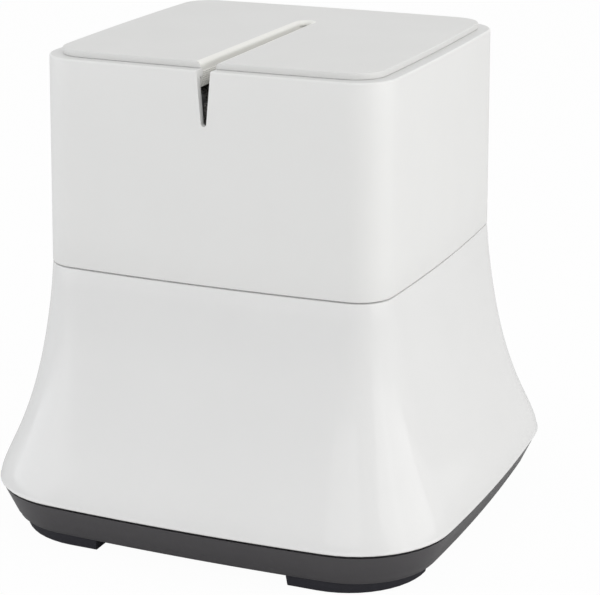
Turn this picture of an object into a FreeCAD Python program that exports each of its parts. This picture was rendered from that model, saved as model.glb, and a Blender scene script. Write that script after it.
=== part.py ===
import FreeCAD, Part
import math
import os

os.makedirs("parts", exist_ok=True)

# Electric knife sharpener. Millimetres, +Z up, front towards -Y.
# The origin is the middle of the base, on the surface that the feet stand on.

# Heights of the body's layers, from the bottom up
foot_height = 4.1
tray_height = 12.0
lower_casing_height = 75.8
upper_casing_height = 69.2
plate_rise = 2.15

# Plan sizes at the middle of each side, corner radii, and how far a bowed side falls back at its ends
rim_width = 120.0
rim_depth = 116.4
rim_corner = 13.5
rim_bow = 1.15
seam_width = 122.2
seam_depth = 118.5
seam_corner = 11.9
seam_bow = 2.35
base_width = 163.5
base_depth = 159.1
base_corner = 33.3
base_bow = 4.2
tray_taper = 6.0
tray_width = base_width - 2 * tray_taper
tray_depth = base_depth - 2 * tray_taper
tray_corner = 28.0
tray_bow = 3.2
foot_side_inset = 10.15
foot_front_inset = 8.2
foot_width = base_width - 2 * foot_side_inset
foot_depth = base_depth - 2 * foot_front_inset
foot_corner = 27.5
foot_bow = 0.4
plate_width = 112.0
plate_depth = 108.7
plate_corner = 10.4

# The flare of the lower casing: a curve from the seam, share of the drop against share of the spread
flare_sections = 12
flare_start_drop = 0.747
flare_start_slope = 0.44
flare_end_drop = 0.828
flare_end_slope = 0.602
flare_corner_power = 0.79

# Walls, edges and the joints between the shells
casing_wall = 2.5
deck_thickness = 2.5
tray_floor = 2.5
tray_step = 0.4
tray_gap = 0.5
tray_gap_depth = 1.0
soft_edge_steps = 4
rim_edge_radius = 0.9
plate_edge_radius = 0.8
plate_gap = 0.45
plate_gap_depth = 1.0
seam_gap = 0.5
seam_gap_depth = 0.8
tongue_height = 3.0
tongue_thickness = 1.2
tongue_clearance = 0.15
lip_height = 2.5
lip_thickness = 1.5
lip_clearance = 1.2

# Knife slot in the top plate, its hanging liner, and the notch in the front wall
slot_offset = 0.5
slot_front_width = 5.5
slot_back_width = 4.4
slot_back = 26.0
slot_edge_radius = 0.9
liner_wall = 1.6
liner_depth = 8.2
liner_clearance = 0.4
liner_groove_count = 8
liner_groove_height = 0.45
liner_groove_depth = 0.25
notch_top_width = 4.8
notch_bottom_width = 1.9
notch_depth = 17.5

# Twin wheels: two shafts side by side along Y, with interleaved abrasive discs
shaft_spacing = 24.0
shaft_drop = 20.6
shaft_radius = 3.0
edge_angle = 20.0
discs_per_shaft = 5
disc_thickness = 3.0
disc_side_gap = 0.4
spacer_radius = 8.5
fixed_fit = 0.02
running_fit = 0.05
end_float = 0.2

# Plates that carry the wheels, and the chassis that they stand on
front_plate_clearance = 1.9
front_plate_thickness = 4.0
rear_plate_thickness = 3.0
bearing_plate_width = 52.0
bearing_plate_top_drop = 8.2
bearing_plate_corner = 8.0
bearing_slot_width = 5.8
bearing_slot_depth = 10.0
shoulder_radius = 3.0
flange_length = 12.0
flange_thickness = 2.0
chassis_drop = 12.0
chassis_thickness = 2.0
chassis_gap = 2.0
chassis_corner = 8.0
cable_hole_radius = 6.0
bush_radius = 4.6
bush_flange_radius = 5.6
bush_flange_thickness = 0.8
clip_radius = 4.6
clip_thickness = 0.8
shaft_overhang = 0.3

# Gears
pair_module = 0.8
pair_teeth = 30
pair_width = 5.0
train_module = 1.0
pinion_teeth = 12
idler_teeth = 24
driven_teeth = 18
train_width = 5.0
tooth_height_share = 0.75
tooth_root_share = 1.1
tooth_backlash = 0.5
flank_angle = 20.0
gear_plane_gap = 0.9
gear_washer_radius = 5.25
idler_pin_radius = 2.5
idler_collar_radius = 4.5

# Motor
motor_radius = 19.0
motor_length = 30.5
motor_wall = 1.2
motor_end_thickness = 2.6
motor_cap_thickness = 3.0
motor_shaft_radius = 1.6
motor_boss_radius = 5.0
motor_boss_height = 2.0
motor_bush_radius = 3.4
magnet_thickness = 3.2
magnet_length = 20.0
magnet_span = 130.0
rotor_air_gap = 0.6
rotor_length = 18.0
rotor_slots = 5
rotor_slot_width = 2.4
rotor_slot_depth = 5.0
commutator_radius = 3.6
commutator_length = 4.5
motor_screw_spacing = 20.0
motor_terminal_width = 4.8
motor_terminal_height = 2.5

# Corner columns of the lower casing, tabs at the seam and screws
column_x = 50.0
column_y = 47.0
column_radius = 4.0
column_fin = 2.0
column_pilot_depth = 14.0
tab_wall_distance = 9.1
tab_x = seam_width / 2 - tab_wall_distance
tab_y = 25.0
tab_width = 11.0
tab_drop = 4.5
tab_thickness = 3.0
upper_boss_radius = 3.8
upper_boss_height = 17.0
plate_screw_inset = 12.0
plate_boss_radius = 2.6
plate_boss_clearance = 0.25
plate_pilot_depth = 3.6
screw_radius = 1.4
screw_head_radius = 2.9
screw_head_height = 2.0
screw_recess = 0.9
screw_recess_reach = 1.1
chassis_screw_length = 10.0
tab_screw_length = 12.0
flange_screw_length = 5.0
board_screw_length = 6.0
tray_screw_length = 16.0
clamp_screw_length = 10.0
flange_screw_spacing = 34.0
pilot_clearance = 0.05
hole_clearance = 0.2
head_clearance = 0.3
tray_boss_radius = 5.2
tray_counterbore_depth = 6.0
column_bottom_gap = 0.1

# Feet
foot_band = 10.0
foot_front_gap = 68.4
foot_side_gap = 88.0
foot_draft = 0.5
foot_end_draft = 0.3
foot_edge_radius = 0.7
peg_radius = 3.0
peg_height = 2.2

# Cooling slots in the tray floor
vent_count = 9
vent_pitch = 5.0
vent_width = 2.4
vent_length = 40.0

# Rear recess with the cord gland, and the cord clamp inside
recess_width = 44.0
recess_share = 0.3818
recess_plane = seam_depth / 2 + (base_depth - seam_depth) / 2 * recess_share
recess_bottom = 22.0
recess_corner = 3.0
cord_radius = 3.2
gland_height = 34.0
gland_wall = 1.3
gland_flange = 2.4
gland_flange_thickness = 2.0
clamp_distance = 14.0
clamp_post_spacing = 17.0
clamp_post_radius = 3.0
clamp_width = 8.0
clamp_thickness = 3.0
clamp_grip = 0.3

# Rocker switch in the rear wall of the upper casing
switch_height = 118.0
switch_body_width = 12.8
switch_body_height = 19.4
switch_body_depth = 15.0
switch_wall = 1.2
bezel_border = 1.5
bezel_thickness = 2.0
seat_recess = 0.5
switch_clearance = 0.15
rocker_length = 15.2
rocker_side_gap = 0.2
rocker_face_height = 3.6
rocker_foot_height = 3.4
rocker_foot_width = 4.0
rocker_tilt = 8.0
rocker_pivot_depth = 3.2
rocker_pin_radius = 1.2
switch_terminal_width = 4.8
switch_terminal_length = 8.0
switch_terminal_spacing = 8.0
terminal_thickness = 0.8

# Power board in the tray
board_edge_distance = 34.75
board_x = board_edge_distance - base_width / 2
board_y = 0.0
board_width = 36.0
board_depth = 52.0
board_thickness = 1.6
board_corner_inset = 4.0
standoff_height = 6.0
standoff_radius = 3.0
capacitor_radius = 8.0
capacitor_height = 20.0
bridge_size = 15.0
bridge_height = 6.0
bridge_y = -6.0
capacitor_y = 13.0
terminal_block_width = 10.0
terminal_block_length = 20.0
terminal_block_height = 10.0

# Places that follow from the sizes above
tray_bottom_z = foot_height
lower_bottom_z = tray_bottom_z + tray_height
seam_z = lower_bottom_z + lower_casing_height
rim_z = seam_z + upper_casing_height
plate_z = rim_z + plate_rise
deck_z = rim_z - deck_thickness
slab_z = rim_z + plate_gap
liner_z = plate_z - liner_depth
notch_z = rim_z - notch_depth
shaft_z = rim_z - shaft_drop
chassis_top = seam_z - chassis_drop
chassis_bottom = chassis_top - chassis_thickness
floor_z = tray_bottom_z + tray_floor
half_spacing = shaft_spacing / 2
screw_hole = screw_radius + hole_clearance
screw_pilot = screw_radius + pilot_clearance
left_x = slot_offset - half_spacing
right_x = slot_offset + half_spacing

# The discs cross above the shafts, where each one's rim leans by the edge angle
nip_rise = half_spacing * math.tan(math.radians(edge_angle))
disc_radius = math.hypot(half_spacing, nip_rise)
disc_pitch = disc_thickness + disc_side_gap
stack_length = 2 * discs_per_shaft * disc_pitch - disc_side_gap

# Places along Y, from the front wall to the last gear
front_inner_y = -rim_depth / 2 + casing_wall
front_plate_y = front_inner_y + front_plate_clearance
front_plate_back = front_plate_y + front_plate_thickness
stack_start = front_plate_back + bush_flange_thickness + end_float
stack_end = stack_start + stack_length
rear_plate_y = stack_end + end_float + bush_flange_thickness
rear_plate_back = rear_plate_y + rear_plate_thickness
pair_start = rear_plate_back + bush_flange_thickness
pair_end = pair_start + pair_width
train_start = pair_end + gear_plane_gap
train_end = train_start + train_width

# The gear train runs straight from the motor shaft up to the right wheel shaft
pinion_radius = train_module * pinion_teeth / 2
idler_radius = train_module * idler_teeth / 2
driven_radius = train_module * driven_teeth / 2
pinion_to_idler = pinion_radius + idler_radius
train_reach = pinion_to_idler + idler_radius + driven_radius
motor_x = slot_offset
motor_z = shaft_z - math.sqrt(train_reach ** 2 - half_spacing ** 2)
train_angle = math.degrees(math.atan2(shaft_z - motor_z, right_x - motor_x))
idler_x = motor_x + pinion_to_idler * math.cos(math.radians(train_angle))
idler_z = motor_z + pinion_to_idler * math.sin(math.radians(train_angle))

along_x = FreeCAD.Vector(1, 0, 0)
along_y = FreeCAD.Vector(0, 1, 0)
against_y = FreeCAD.Vector(0, -1, 0)
up = FreeCAD.Vector(0, 0, 1)
down = FreeCAD.Vector(0, 0, -1)
corner_signs = [(-1, -1), (1, -1), (-1, 1), (1, 1)]
overrun = 1.0


def point(x, y, z):
    return FreeCAD.Vector(x, y, z)


def block(x_low, x_high, y_low, y_high, z_low, z_high):
    corner = point(x_low, y_low, z_low)
    return Part.makeBox(x_high - x_low, y_high - y_low, z_high - z_low, corner)


def rod(radius, length, x, y, z, axis=along_y):
    return Part.makeCylinder(radius, length, point(x, y, z), axis)


def tube(radius, bore, length, x, y, z, axis=along_y):
    return rod(radius, length, x, y, z, axis).cut(rod(bore, length, x, y, z, axis))


def joined(shapes):
    whole = shapes[0].multiFuse(shapes[1:]) if len(shapes) > 1 else shapes[0]
    return whole.removeSplitter()


def group(shapes):
    return Part.makeCompound(shapes)


def save(shape, name):
    shape.exportStep("parts/" + name + ".step")


def edges_where(shape, test):
    return [edge for edge in shape.Edges if test(edge)]


def at_height(z):
    return lambda edge: max(abs(edge.BoundBox.ZMin - z), abs(edge.BoundBox.ZMax - z)) < 1e-3


def arc(start, middle, end):
    return Part.Arc(start, middle, end).toShape()


def corner_circle(width, depth, corner, bow):
    """Centre of the corner that touches both bowed sides, and the radii of those sides."""
    half_x = width / 2
    half_y = depth / 2
    reach_x = (half_y ** 2 + bow ** 2) / (2 * bow)
    reach_y = (half_x ** 2 + bow ** 2) / (2 * bow)
    from_x = point(half_x - reach_x, 0, 0)
    from_y = point(0, half_y - reach_y, 0)
    between = from_y - from_x
    distance = between.Length
    along = ((reach_x - corner) ** 2 - (reach_y - corner) ** 2 + distance ** 2) / (2 * distance)
    across = math.sqrt((reach_x - corner) ** 2 - along ** 2)
    direction = between / distance
    centre = from_x + direction * along + point(-direction.y, direction.x, 0) * across
    return centre, from_x, from_y, reach_x, reach_y


def outline(width, depth, corner, bow, z):
    """Closed wire of four bowed sides and four round corners, tangent all the way round."""
    centre, from_x, from_y, reach_x, reach_y = corner_circle(width, depth, corner, bow)
    toward_x = (centre - from_x).normalize()
    toward_y = (centre - from_y).normalize()
    quarter = [
        from_x + toward_x * reach_x,
        centre + (toward_x + toward_y).normalize() * corner,
        from_y + toward_y * reach_y,
    ]
    stops = []
    for sign_x, sign_y in [(1, 1), (-1, 1), (-1, -1), (1, -1)]:
        turn = [point(p.x * sign_x, p.y * sign_y, z) for p in quarter]
        stops.append(turn if sign_x * sign_y > 0 else turn[::-1])
    middles = [point(0, depth / 2, z), point(-width / 2, 0, z)]
    middles += [point(0, -depth / 2, z), point(width / 2, 0, z)]
    edges = []
    for index in range(4):
        turn = stops[index]
        following = stops[(index + 1) % 4]
        edges.append(arc(turn[0], turn[1], turn[2]))
        edges.append(arc(turn[2], middles[index], following[0]))
    return Part.Wire(edges)


def stacked(sections, inset=0.0, ruled=False):
    """Solid through outlines, each one (width, depth, corner, bow, z), all drawn in by the inset."""
    wires = []
    for width, depth, corner, bow, z in sections:
        wires.append(outline(width - 2 * inset, depth - 2 * inset, corner - inset, bow, z))
    return Part.makeLoft(wires, True, ruled)


def blend_section(first, second, share, z):
    return tuple(a + (b - a) * share for a, b in zip(first, second)) + (z,)


rim_plan = (rim_width, rim_depth, rim_corner, rim_bow)
seam_plan = (seam_width, seam_depth, seam_corner, seam_bow)
base_plan = (base_width, base_depth, base_corner, base_bow)
tray_plan = (tray_width, tray_depth, tray_corner, tray_bow)
foot_plan = (foot_width, foot_depth, foot_corner, foot_bow)
plate_plan = (plate_width, plate_depth, plate_corner, rim_bow)


def upper_section(z):
    return blend_section(seam_plan, rim_plan, (z - seam_z) / upper_casing_height, z)


def drawn_in(plan, inset):
    width, depth, corner, bow = plan
    return (width - 2 * inset, depth - 2 * inset, corner - inset, bow)


def soft_edge(plan, radius, top_z):
    """Outlines that round an upper edge over, from its side to its top."""
    sections = []
    for step in range(soft_edge_steps + 1):
        turn = math.pi / 2 * step / soft_edge_steps
        rounded = drawn_in(plan, radius * (1 - math.cos(turn)))
        sections.append(rounded + (top_z - radius * (1 - math.sin(turn)),))
    return sections


def cubic(share, first, second):
    """Bezier value from 0 to 1 with two inner control values."""
    rest = 1 - share
    return 3 * share * rest ** 2 * first + 3 * share ** 2 * rest * second + share ** 3


def flare_sections_down():
    sections = []
    for step in range(flare_sections + 1):
        share = step / flare_sections
        drop = cubic(share, flare_start_drop, flare_end_drop)
        late_spread = 1 - flare_end_slope * (1 - flare_end_drop)
        spread = cubic(share, flare_start_drop * flare_start_slope, late_spread)
        rounding = spread ** flare_corner_power
        z = seam_z - lower_casing_height * drop
        width = seam_width + (base_width - seam_width) * spread
        depth = seam_depth + (base_depth - seam_depth) * spread
        corner = seam_corner + (base_corner - seam_corner) * rounding
        bow = seam_bow + (base_bow - seam_bow) * rounding
        sections.append((width, depth, corner, bow, z))
    return sections


def band(plan, inner_inset, outer_inset, z_low, z_high):
    """Upright ring between two insets of one outline."""
    outer = stacked([plan + (z_low,), plan + (z_high,)], outer_inset, True)
    inner = stacked([plan + (z_low,), plan + (z_high,)], inner_inset, True)
    return outer.cut(inner)


def screw(x, y, z, length, axis):
    """Pan head screw: the head stands behind the seat point, the shank runs along the axis."""
    seat = point(x, y, z)
    head = Part.makeCylinder(screw_head_radius, screw_head_height, seat, axis * -1)
    shank = Part.makeCylinder(screw_radius, length, seat, axis)
    whole = head.fuse(shank).removeSplitter()
    arm = screw_head_radius * screw_recess_reach
    for turn in (0, 90):
        cutter = block(-arm / 2, arm / 2, -screw_recess / 2, screw_recess / 2, 0, screw_recess + overrun)
        cutter.rotate(point(0, 0, 0), up, turn)
        cutter.Placement = FreeCAD.Placement(
            seat - axis * (screw_head_height - screw_recess), FreeCAD.Rotation(up, axis * -1)
        ).multiply(cutter.Placement)
        whole = whole.cut(cutter)
    return whole


def slot_wire(extra, front, back, z):
    """Knife slot seen from above: a slight taper to the back, with a round end; extra widens it."""
    front_half = slot_front_width / 2 + extra
    back_half = slot_back_width / 2 + extra
    shoulder = back - back_half
    corners = [
        point(slot_offset - front_half, front, z),
        point(slot_offset + front_half, front, z),
        point(slot_offset + back_half, shoulder, z),
        point(slot_offset - back_half, shoulder, z),
    ]
    edges = [
        Part.LineSegment(corners[0], corners[1]).toShape(),
        Part.LineSegment(corners[1], corners[2]).toShape(),
        arc(corners[2], point(slot_offset, back, z), corners[3]),
        Part.LineSegment(corners[3], corners[0]).toShape(),
    ]
    return Part.Wire(edges)


def slot_shape(extra, front, back, z_low, z_high):
    return Part.Face(slot_wire(extra, front, back, z_low)).extrude(up * (z_high - z_low))


def slot_flare(radius, front, back, top_z):
    """What the rounded upper edges of the slot take away."""
    wires = []
    for step in range(soft_edge_steps + 1):
        turn = math.pi / 2 * step / soft_edge_steps
        extra = radius * (1 - math.cos(turn))
        wires.append(slot_wire(extra, front, back + extra, top_z - radius * (1 - math.sin(turn))))
    wires.append(slot_wire(radius, front, back + radius, top_z + overrun))
    return Part.makeLoft(wires, True, True)


def notch_shape(y_low, y_high):
    """Narrow V with a round bottom, seen from the front."""
    top = rim_z + plate_rise
    low_half = notch_bottom_width / 2
    top_half = notch_top_width / 2
    arc_z = notch_z + low_half
    spread = (top_half - low_half) / (rim_z - arc_z) * (top - arc_z) + low_half
    corners = [
        point(slot_offset - spread, y_low, top),
        point(slot_offset - low_half, y_low, arc_z),
        point(slot_offset + low_half, y_low, arc_z),
        point(slot_offset + spread, y_low, top),
    ]
    edges = [
        Part.LineSegment(corners[0], corners[1]).toShape(),
        arc(corners[1], point(slot_offset, y_low, notch_z), corners[2]),
        Part.LineSegment(corners[2], corners[3]).toShape(),
        Part.LineSegment(corners[3], corners[0]).toShape(),
    ]
    return Part.Face(Part.Wire(edges)).extrude(along_y * (y_high - y_low))


# Screw places
column_places = [(sx * column_x, sy * column_y) for sx, sy in corner_signs]
tab_places = [(sx * tab_x, sy * tab_y) for sx, sy in corner_signs]
plate_screw_x = plate_width / 2 - plate_screw_inset
plate_screw_y = plate_depth / 2 - plate_screw_inset
plate_screw_places = [(sx * plate_screw_x, sy * plate_screw_y) for sx, sy in corner_signs]
plate_front_y = -plate_depth / 2
liner_front = plate_front_y + plate_gap_depth + liner_clearance
seat_y = rim_depth / 2 - seat_recess
switch_opening_width = switch_body_width + 2 * switch_clearance
switch_opening_height = switch_body_height + 2 * switch_clearance
bezel_width = switch_body_width + 2 * bezel_border
bezel_height = switch_body_height + 2 * bezel_border


def upper_casing():
    outer = stacked([upper_section(seam_z)] + soft_edge(rim_plan, rim_edge_radius, rim_z), 0, True)
    inner = stacked([upper_section(seam_z - overrun), upper_section(deck_z)], casing_wall, True)
    shell = outer.cut(inner)
    additions = []
    for x, y in tab_places:
        side = math.copysign(1, x)
        boss = rod(upper_boss_radius, upper_boss_height, x, y, seam_z - tab_drop + tab_thickness, up)
        rib_low = seam_z + tongue_height + tongue_clearance
        rib_high = seam_z - tab_drop + tab_thickness + upper_boss_height
        rib_ends = sorted([x, side * seam_width / 2])
        rib = block(rib_ends[0], rib_ends[1], y - column_fin / 2, y + column_fin / 2, rib_low, rib_high)
        additions.append(boss)
        additions.append(rib.common(outer))
    shell = joined([shell] + additions)
    cutters = [band(seam_plan, seam_gap_depth, -overrun, seam_z - overrun, seam_z + seam_gap)]
    cutters.append(notch_shape(-rim_depth / 2 - overrun, liner_front + overrun))
    cutters.append(slot_shape(liner_wall + liner_clearance, plate_front_y + plate_gap_depth,
                              slot_back + liner_wall + liner_clearance, deck_z - overrun, rim_z + overrun))
    for x, y in plate_screw_places:
        cutters.append(rod(plate_boss_radius + plate_boss_clearance, deck_thickness + 2 * overrun,
                           x, y, deck_z - overrun, up))
    for x, y in tab_places:
        cutters.append(rod(screw_pilot, upper_boss_height,
                           x, y, seam_z - tab_drop + tab_thickness - overrun, up))
    half_w = switch_opening_width / 2
    half_h = switch_opening_height / 2
    cutters.append(block(-half_w, half_w, seat_y - 2 * casing_wall, seat_y + 2 * casing_wall,
                         switch_height - half_h, switch_height + half_h))
    seat_w = bezel_width / 2 + switch_clearance
    seat_h = bezel_height / 2 + switch_clearance
    cutters.append(block(-seat_w, seat_w, seat_y, seat_y + 2 * casing_wall,
                         switch_height - seat_h, switch_height + seat_h))
    return shell.cut(cutters)


def recess_block(grow):
    """The rear recess as a block with round upright corners, grown on every side by a wall."""
    half = recess_width / 2 + grow
    shape = block(-half, half, recess_plane - grow, base_depth, recess_bottom - grow, seam_z)
    corners = edges_where(shape, lambda edge: abs(edge.BoundBox.YMax - recess_plane + grow) < 1e-3
                          and edge.BoundBox.ZLength > recess_bottom)
    return shape.makeFillet(recess_corner + grow, corners)


def lower_casing():
    sections = flare_sections_down()
    outer = stacked(sections)
    body = outer.cut(recess_block(0))
    inner = stacked(sections, casing_wall).cut(recess_block(casing_wall))
    shell = body.cut(inner)
    tongue = band(seam_plan, casing_wall + tongue_clearance + tongue_thickness,
                  casing_wall + tongue_clearance, seam_z - tab_drop, seam_z + tongue_height)
    root = band(seam_plan, casing_wall + tongue_clearance + tongue_thickness, casing_wall / 2,
                seam_z - tab_drop, seam_z - tab_drop / 2)
    additions = [tongue, root]
    for x, y in column_places:
        low = lower_bottom_z + lip_height
        column = rod(column_radius, chassis_bottom - low, x, y, low, up)
        fin = block(0, base_width / 2, -column_fin / 2, column_fin / 2, low + lip_height, chassis_bottom)
        fin.rotate(point(0, 0, 0), up, math.degrees(math.atan2(y, x)))
        fin.translate(point(x, y, 0))
        additions.append(column)
        additions.append(fin.common(outer))
    for x, y in tab_places:
        side = math.copysign(1, x)
        ends = sorted([side * (abs(x) - tab_width / 2), side * seam_width / 2])
        tab = block(ends[0], ends[1], y - tab_width / 2, y + tab_width / 2,
                    seam_z - tab_drop, seam_z - tab_drop + tab_thickness)
        additions.append(tab.common(outer))
    shell = joined([shell] + additions)
    cutters = [rod(cord_radius + gland_wall + fixed_fit, 2 * casing_wall + overrun, 0,
                   recess_plane - 2 * casing_wall, gland_height)]
    for x, y in column_places:
        cutters.append(rod(screw_pilot, column_pilot_depth, x, y, lower_bottom_z, up))
        cutters.append(rod(screw_pilot, column_pilot_depth, x, y, chassis_bottom, down))
    for x, y in tab_places:
        cutters.append(rod(screw_hole, 2 * tab_thickness, x, y,
                           seam_z - tab_drop - overrun, up))
    return shell.cut(cutters)


def base_tray():
    top = drawn_in(base_plan, tray_step) + (lower_bottom_z,)
    outer = stacked([tray_plan + (tray_bottom_z,), top], 0, True)
    floor = blend_section(tray_plan, top[:4], tray_floor / tray_height, floor_z)
    above = blend_section(tray_plan, top[:4], 1 + overrun / tray_height, lower_bottom_z + overrun)
    shell = outer.cut(stacked([floor, above], casing_wall, True))
    inner_lip = casing_wall + lip_clearance
    lip = band(base_plan, inner_lip + lip_thickness, inner_lip,
               lower_bottom_z - tray_height / 2, lower_bottom_z + lip_height)
    additions = [lip]
    for x, y in column_places:
        top_z = lower_bottom_z + lip_height - column_bottom_gap
        additions.append(rod(tray_boss_radius, top_z - tray_bottom_z, x, y, tray_bottom_z, up))
    for sx, sy in corner_signs:
        additions.append(rod(standoff_radius, standoff_height + tray_floor, board_x + sx * standoff_x,
                             board_y + sy * standoff_y, tray_bottom_z, up))
    for side in (-1, 1):
        additions.append(rod(clamp_post_radius, clamp_top - tray_bottom_z,
                             side * clamp_post_spacing / 2, clamp_y, tray_bottom_z, up))
    saddle = block(-clamp_post_spacing / 2, clamp_post_spacing / 2, clamp_y - clamp_post_radius / 2,
                   clamp_y + clamp_post_radius / 2, tray_bottom_z, gland_height - cord_radius + clamp_grip)
    additions.append(saddle)
    shell = joined([shell] + additions)
    cutters = [band(base_plan, tray_gap_depth + tray_step, -overrun,
                    lower_bottom_z - tray_gap, lower_bottom_z + overrun)]
    for x, y in column_places:
        cutters.append(rod(screw_head_radius + head_clearance, tray_counterbore_depth,
                           x, y, tray_bottom_z, up))
        cutters.append(rod(screw_hole, 2 * tray_height, x, y, tray_bottom_z, up))
    for sx, sy in corner_signs:
        cutters.append(rod(screw_pilot, standoff_height, board_x + sx * standoff_x,
                           board_y + sy * standoff_y, floor_z + standoff_height, down))
    for side in (-1, 1):
        cutters.append(rod(screw_pilot, clamp_screw_length, side * clamp_post_spacing / 2,
                           clamp_y, clamp_top, down))
    for x, y in foot_peg_places():
        cutters.append(rod(peg_radius + running_fit, peg_height + running_fit, x, y, tray_bottom_z, up))
    first = -(vent_count - 1) / 2 * vent_pitch
    for index in range(vent_count):
        x = first + index * vent_pitch
        cutters.append(block(x - vent_width / 2, x + vent_width / 2, -vent_length / 2, vent_length / 2,
                             tray_bottom_z - overrun, floor_z + overrun))
    return shell.cut(cutters)


def foot_peg_places():
    """The middle of each foot's corner."""
    centre = corner_circle(foot_width, foot_depth, foot_corner, foot_bow)[0]
    reach = (foot_corner - foot_band / 2) / math.sqrt(2)
    return [(sx * (centre.x + reach), sy * (centre.y + reach)) for sx, sy in corner_signs]


def foot(sx, sy, peg):
    """Rubber pad that follows the tray's outline round one corner, with a peg into the tray."""
    top = drawn_in(foot_plan, -foot_draft)
    bottom_edge = [drawn_in(foot_plan, foot_edge_radius) + (0.0,), foot_plan + (foot_edge_radius,)]
    outer = stacked(bottom_edge + [top + (foot_height,)], 0, True)
    inner = stacked([foot_plan + (-overrun,), top + (foot_height + overrun,)], foot_band, True)
    pad = outer.cut(inner)
    slope = foot_end_draft
    front = foot_front_gap / 2
    side = foot_side_gap / 2
    ends_x = [point(front + slope, -foot_depth, 0), point(front - slope, -foot_depth, foot_height),
              point(base_width, -foot_depth, foot_height), point(base_width, -foot_depth, 0)]
    keep_x = Part.Face(Part.makePolygon(ends_x + ends_x[:1])).extrude(along_y * 2 * foot_depth)
    ends_y = [point(0, side + slope, 0), point(0, side - slope, foot_height),
              point(0, base_depth, foot_height), point(0, base_depth, 0)]
    keep_y = Part.Face(Part.makePolygon(ends_y + ends_y[:1])).extrude(point(base_width, 0, 0))
    pad = pad.common(keep_x).common(keep_y)
    if sx < 0:
        pad = pad.mirror(point(0, 0, 0), point(1, 0, 0))
    if sy < 0:
        pad = pad.mirror(point(0, 0, 0), point(0, 1, 0))
    return joined([pad, rod(peg_radius, foot_height / 2 + peg_height, peg[0], peg[1], foot_height / 2, up)])


def top_plate():
    slab = stacked([plate_plan + (slab_z,)] + soft_edge(plate_plan, plate_edge_radius, plate_z), 0, True)
    foot_ring = stacked([plate_plan + (rim_z,), plate_plan + (slab_z,)], plate_gap_depth, True)
    liner = slot_shape(liner_wall, liner_front, slot_back + liner_wall, liner_z, slab_z)
    additions = [foot_ring, liner]
    for x, y in plate_screw_places:
        additions.append(rod(plate_boss_radius, slab_z - deck_z, x, y, deck_z, up))
    plate = joined([slab] + additions)
    cutters = [slot_shape(0, plate_front_y - overrun, slot_back, liner_z - overrun, plate_z + overrun)]
    cutters.append(slot_flare(slot_edge_radius, plate_front_y - overrun, slot_back, plate_z))
    groove_pitch = (liner_depth - slot_edge_radius) / (liner_groove_count + 0.5)
    for index in range(liner_groove_count):
        low = liner_z + (index + 0.5) * groove_pitch
        cutters.append(slot_shape(liner_groove_depth, liner_front + overrun, slot_back + liner_groove_depth,
                                  low, low + liner_groove_height))
    for x, y in plate_screw_places:
        cutters.append(rod(screw_pilot, plate_pilot_depth, x, y, deck_z, up))
    return plate.cut(cutters)


def chassis_plate():
    plan = drawn_in(seam_plan, casing_wall + chassis_gap)
    half_x = plan[0] / 2
    half_y = plan[1] / 2
    plate = block(-half_x, half_x, -half_y, half_y, chassis_bottom, chassis_top)
    upright = edges_where(plate, lambda edge: edge.BoundBox.ZLength > chassis_thickness / 2)
    plate = plate.makeFillet(chassis_corner, upright)
    for x, y in column_places:
        plate = plate.cut(rod(screw_hole, 2 * chassis_thickness, x, y, chassis_bottom, up))
    for x, y in flange_screw_places:
        plate = plate.cut(rod(screw_pilot, 2 * chassis_thickness, x, y, chassis_bottom, up))
    return plate.cut(rod(cable_hole_radius, 2 * chassis_thickness, -column_x / 2, column_y / 2,
                         chassis_bottom, up))


def bearing_plate(front_y, thickness, flange_y):
    """Upright plate: two shaft bores, a knife slot with round shoulders and a foot flange."""
    half = bearing_plate_width / 2
    top = rim_z - bearing_plate_top_drop
    low_x = slot_offset - half
    high_x = slot_offset + half
    plate = block(low_x, high_x, front_y, front_y + thickness, chassis_top, top)
    outer_corners = edges_where(plate, lambda edge: edge.BoundBox.YLength > thickness / 2
                                and at_height(top)(edge))
    plate = plate.makeFillet(bearing_plate_corner, outer_corners)
    slot_half = bearing_slot_width / 2
    slot = block(slot_offset - slot_half, slot_offset + slot_half, front_y - overrun,
                 front_y + thickness + overrun, top - bearing_slot_depth, top + overrun)
    round_end = rod(slot_half, thickness + 2 * overrun, slot_offset, front_y - overrun,
                    top - bearing_slot_depth)
    plate = plate.cut(slot.fuse(round_end))
    shoulders = edges_where(plate, lambda edge: edge.BoundBox.YLength > thickness / 2
                            and at_height(top)(edge)
                            and abs(abs(edge.BoundBox.Center.x - slot_offset) - slot_half) < 1e-3)
    plate = plate.makeFillet(shoulder_radius, shoulders)
    flange = block(low_x, high_x, front_y + thickness / 2, flange_y,
                   chassis_top, chassis_top + flange_thickness)
    plate = joined([plate, flange])
    for x in (left_x, right_x):
        plate = plate.cut(rod(bush_radius + fixed_fit, 2 * thickness, x, front_y - thickness / 2, shaft_z))
    for x, y in flange_screw_places:
        plate = plate.cut(rod(screw_hole, flange_thickness * 2, x, y, chassis_top, up))
    return plate


def rear_bearing_plate():
    plate = bearing_plate(rear_plate_y, rear_plate_thickness, rear_plate_back + flange_length)
    length = rear_plate_thickness + 2 * overrun
    start = rear_plate_y - overrun
    plate = plate.cut(rod(motor_boss_radius + hole_clearance, length, motor_x, start, motor_z))
    plate = plate.cut(rod(idler_pin_radius + fixed_fit, length, idler_x, start, idler_z))
    for x, z in motor_screw_places:
        plate = plate.cut(rod(screw_hole, length, x, start, z))
    return plate


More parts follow.
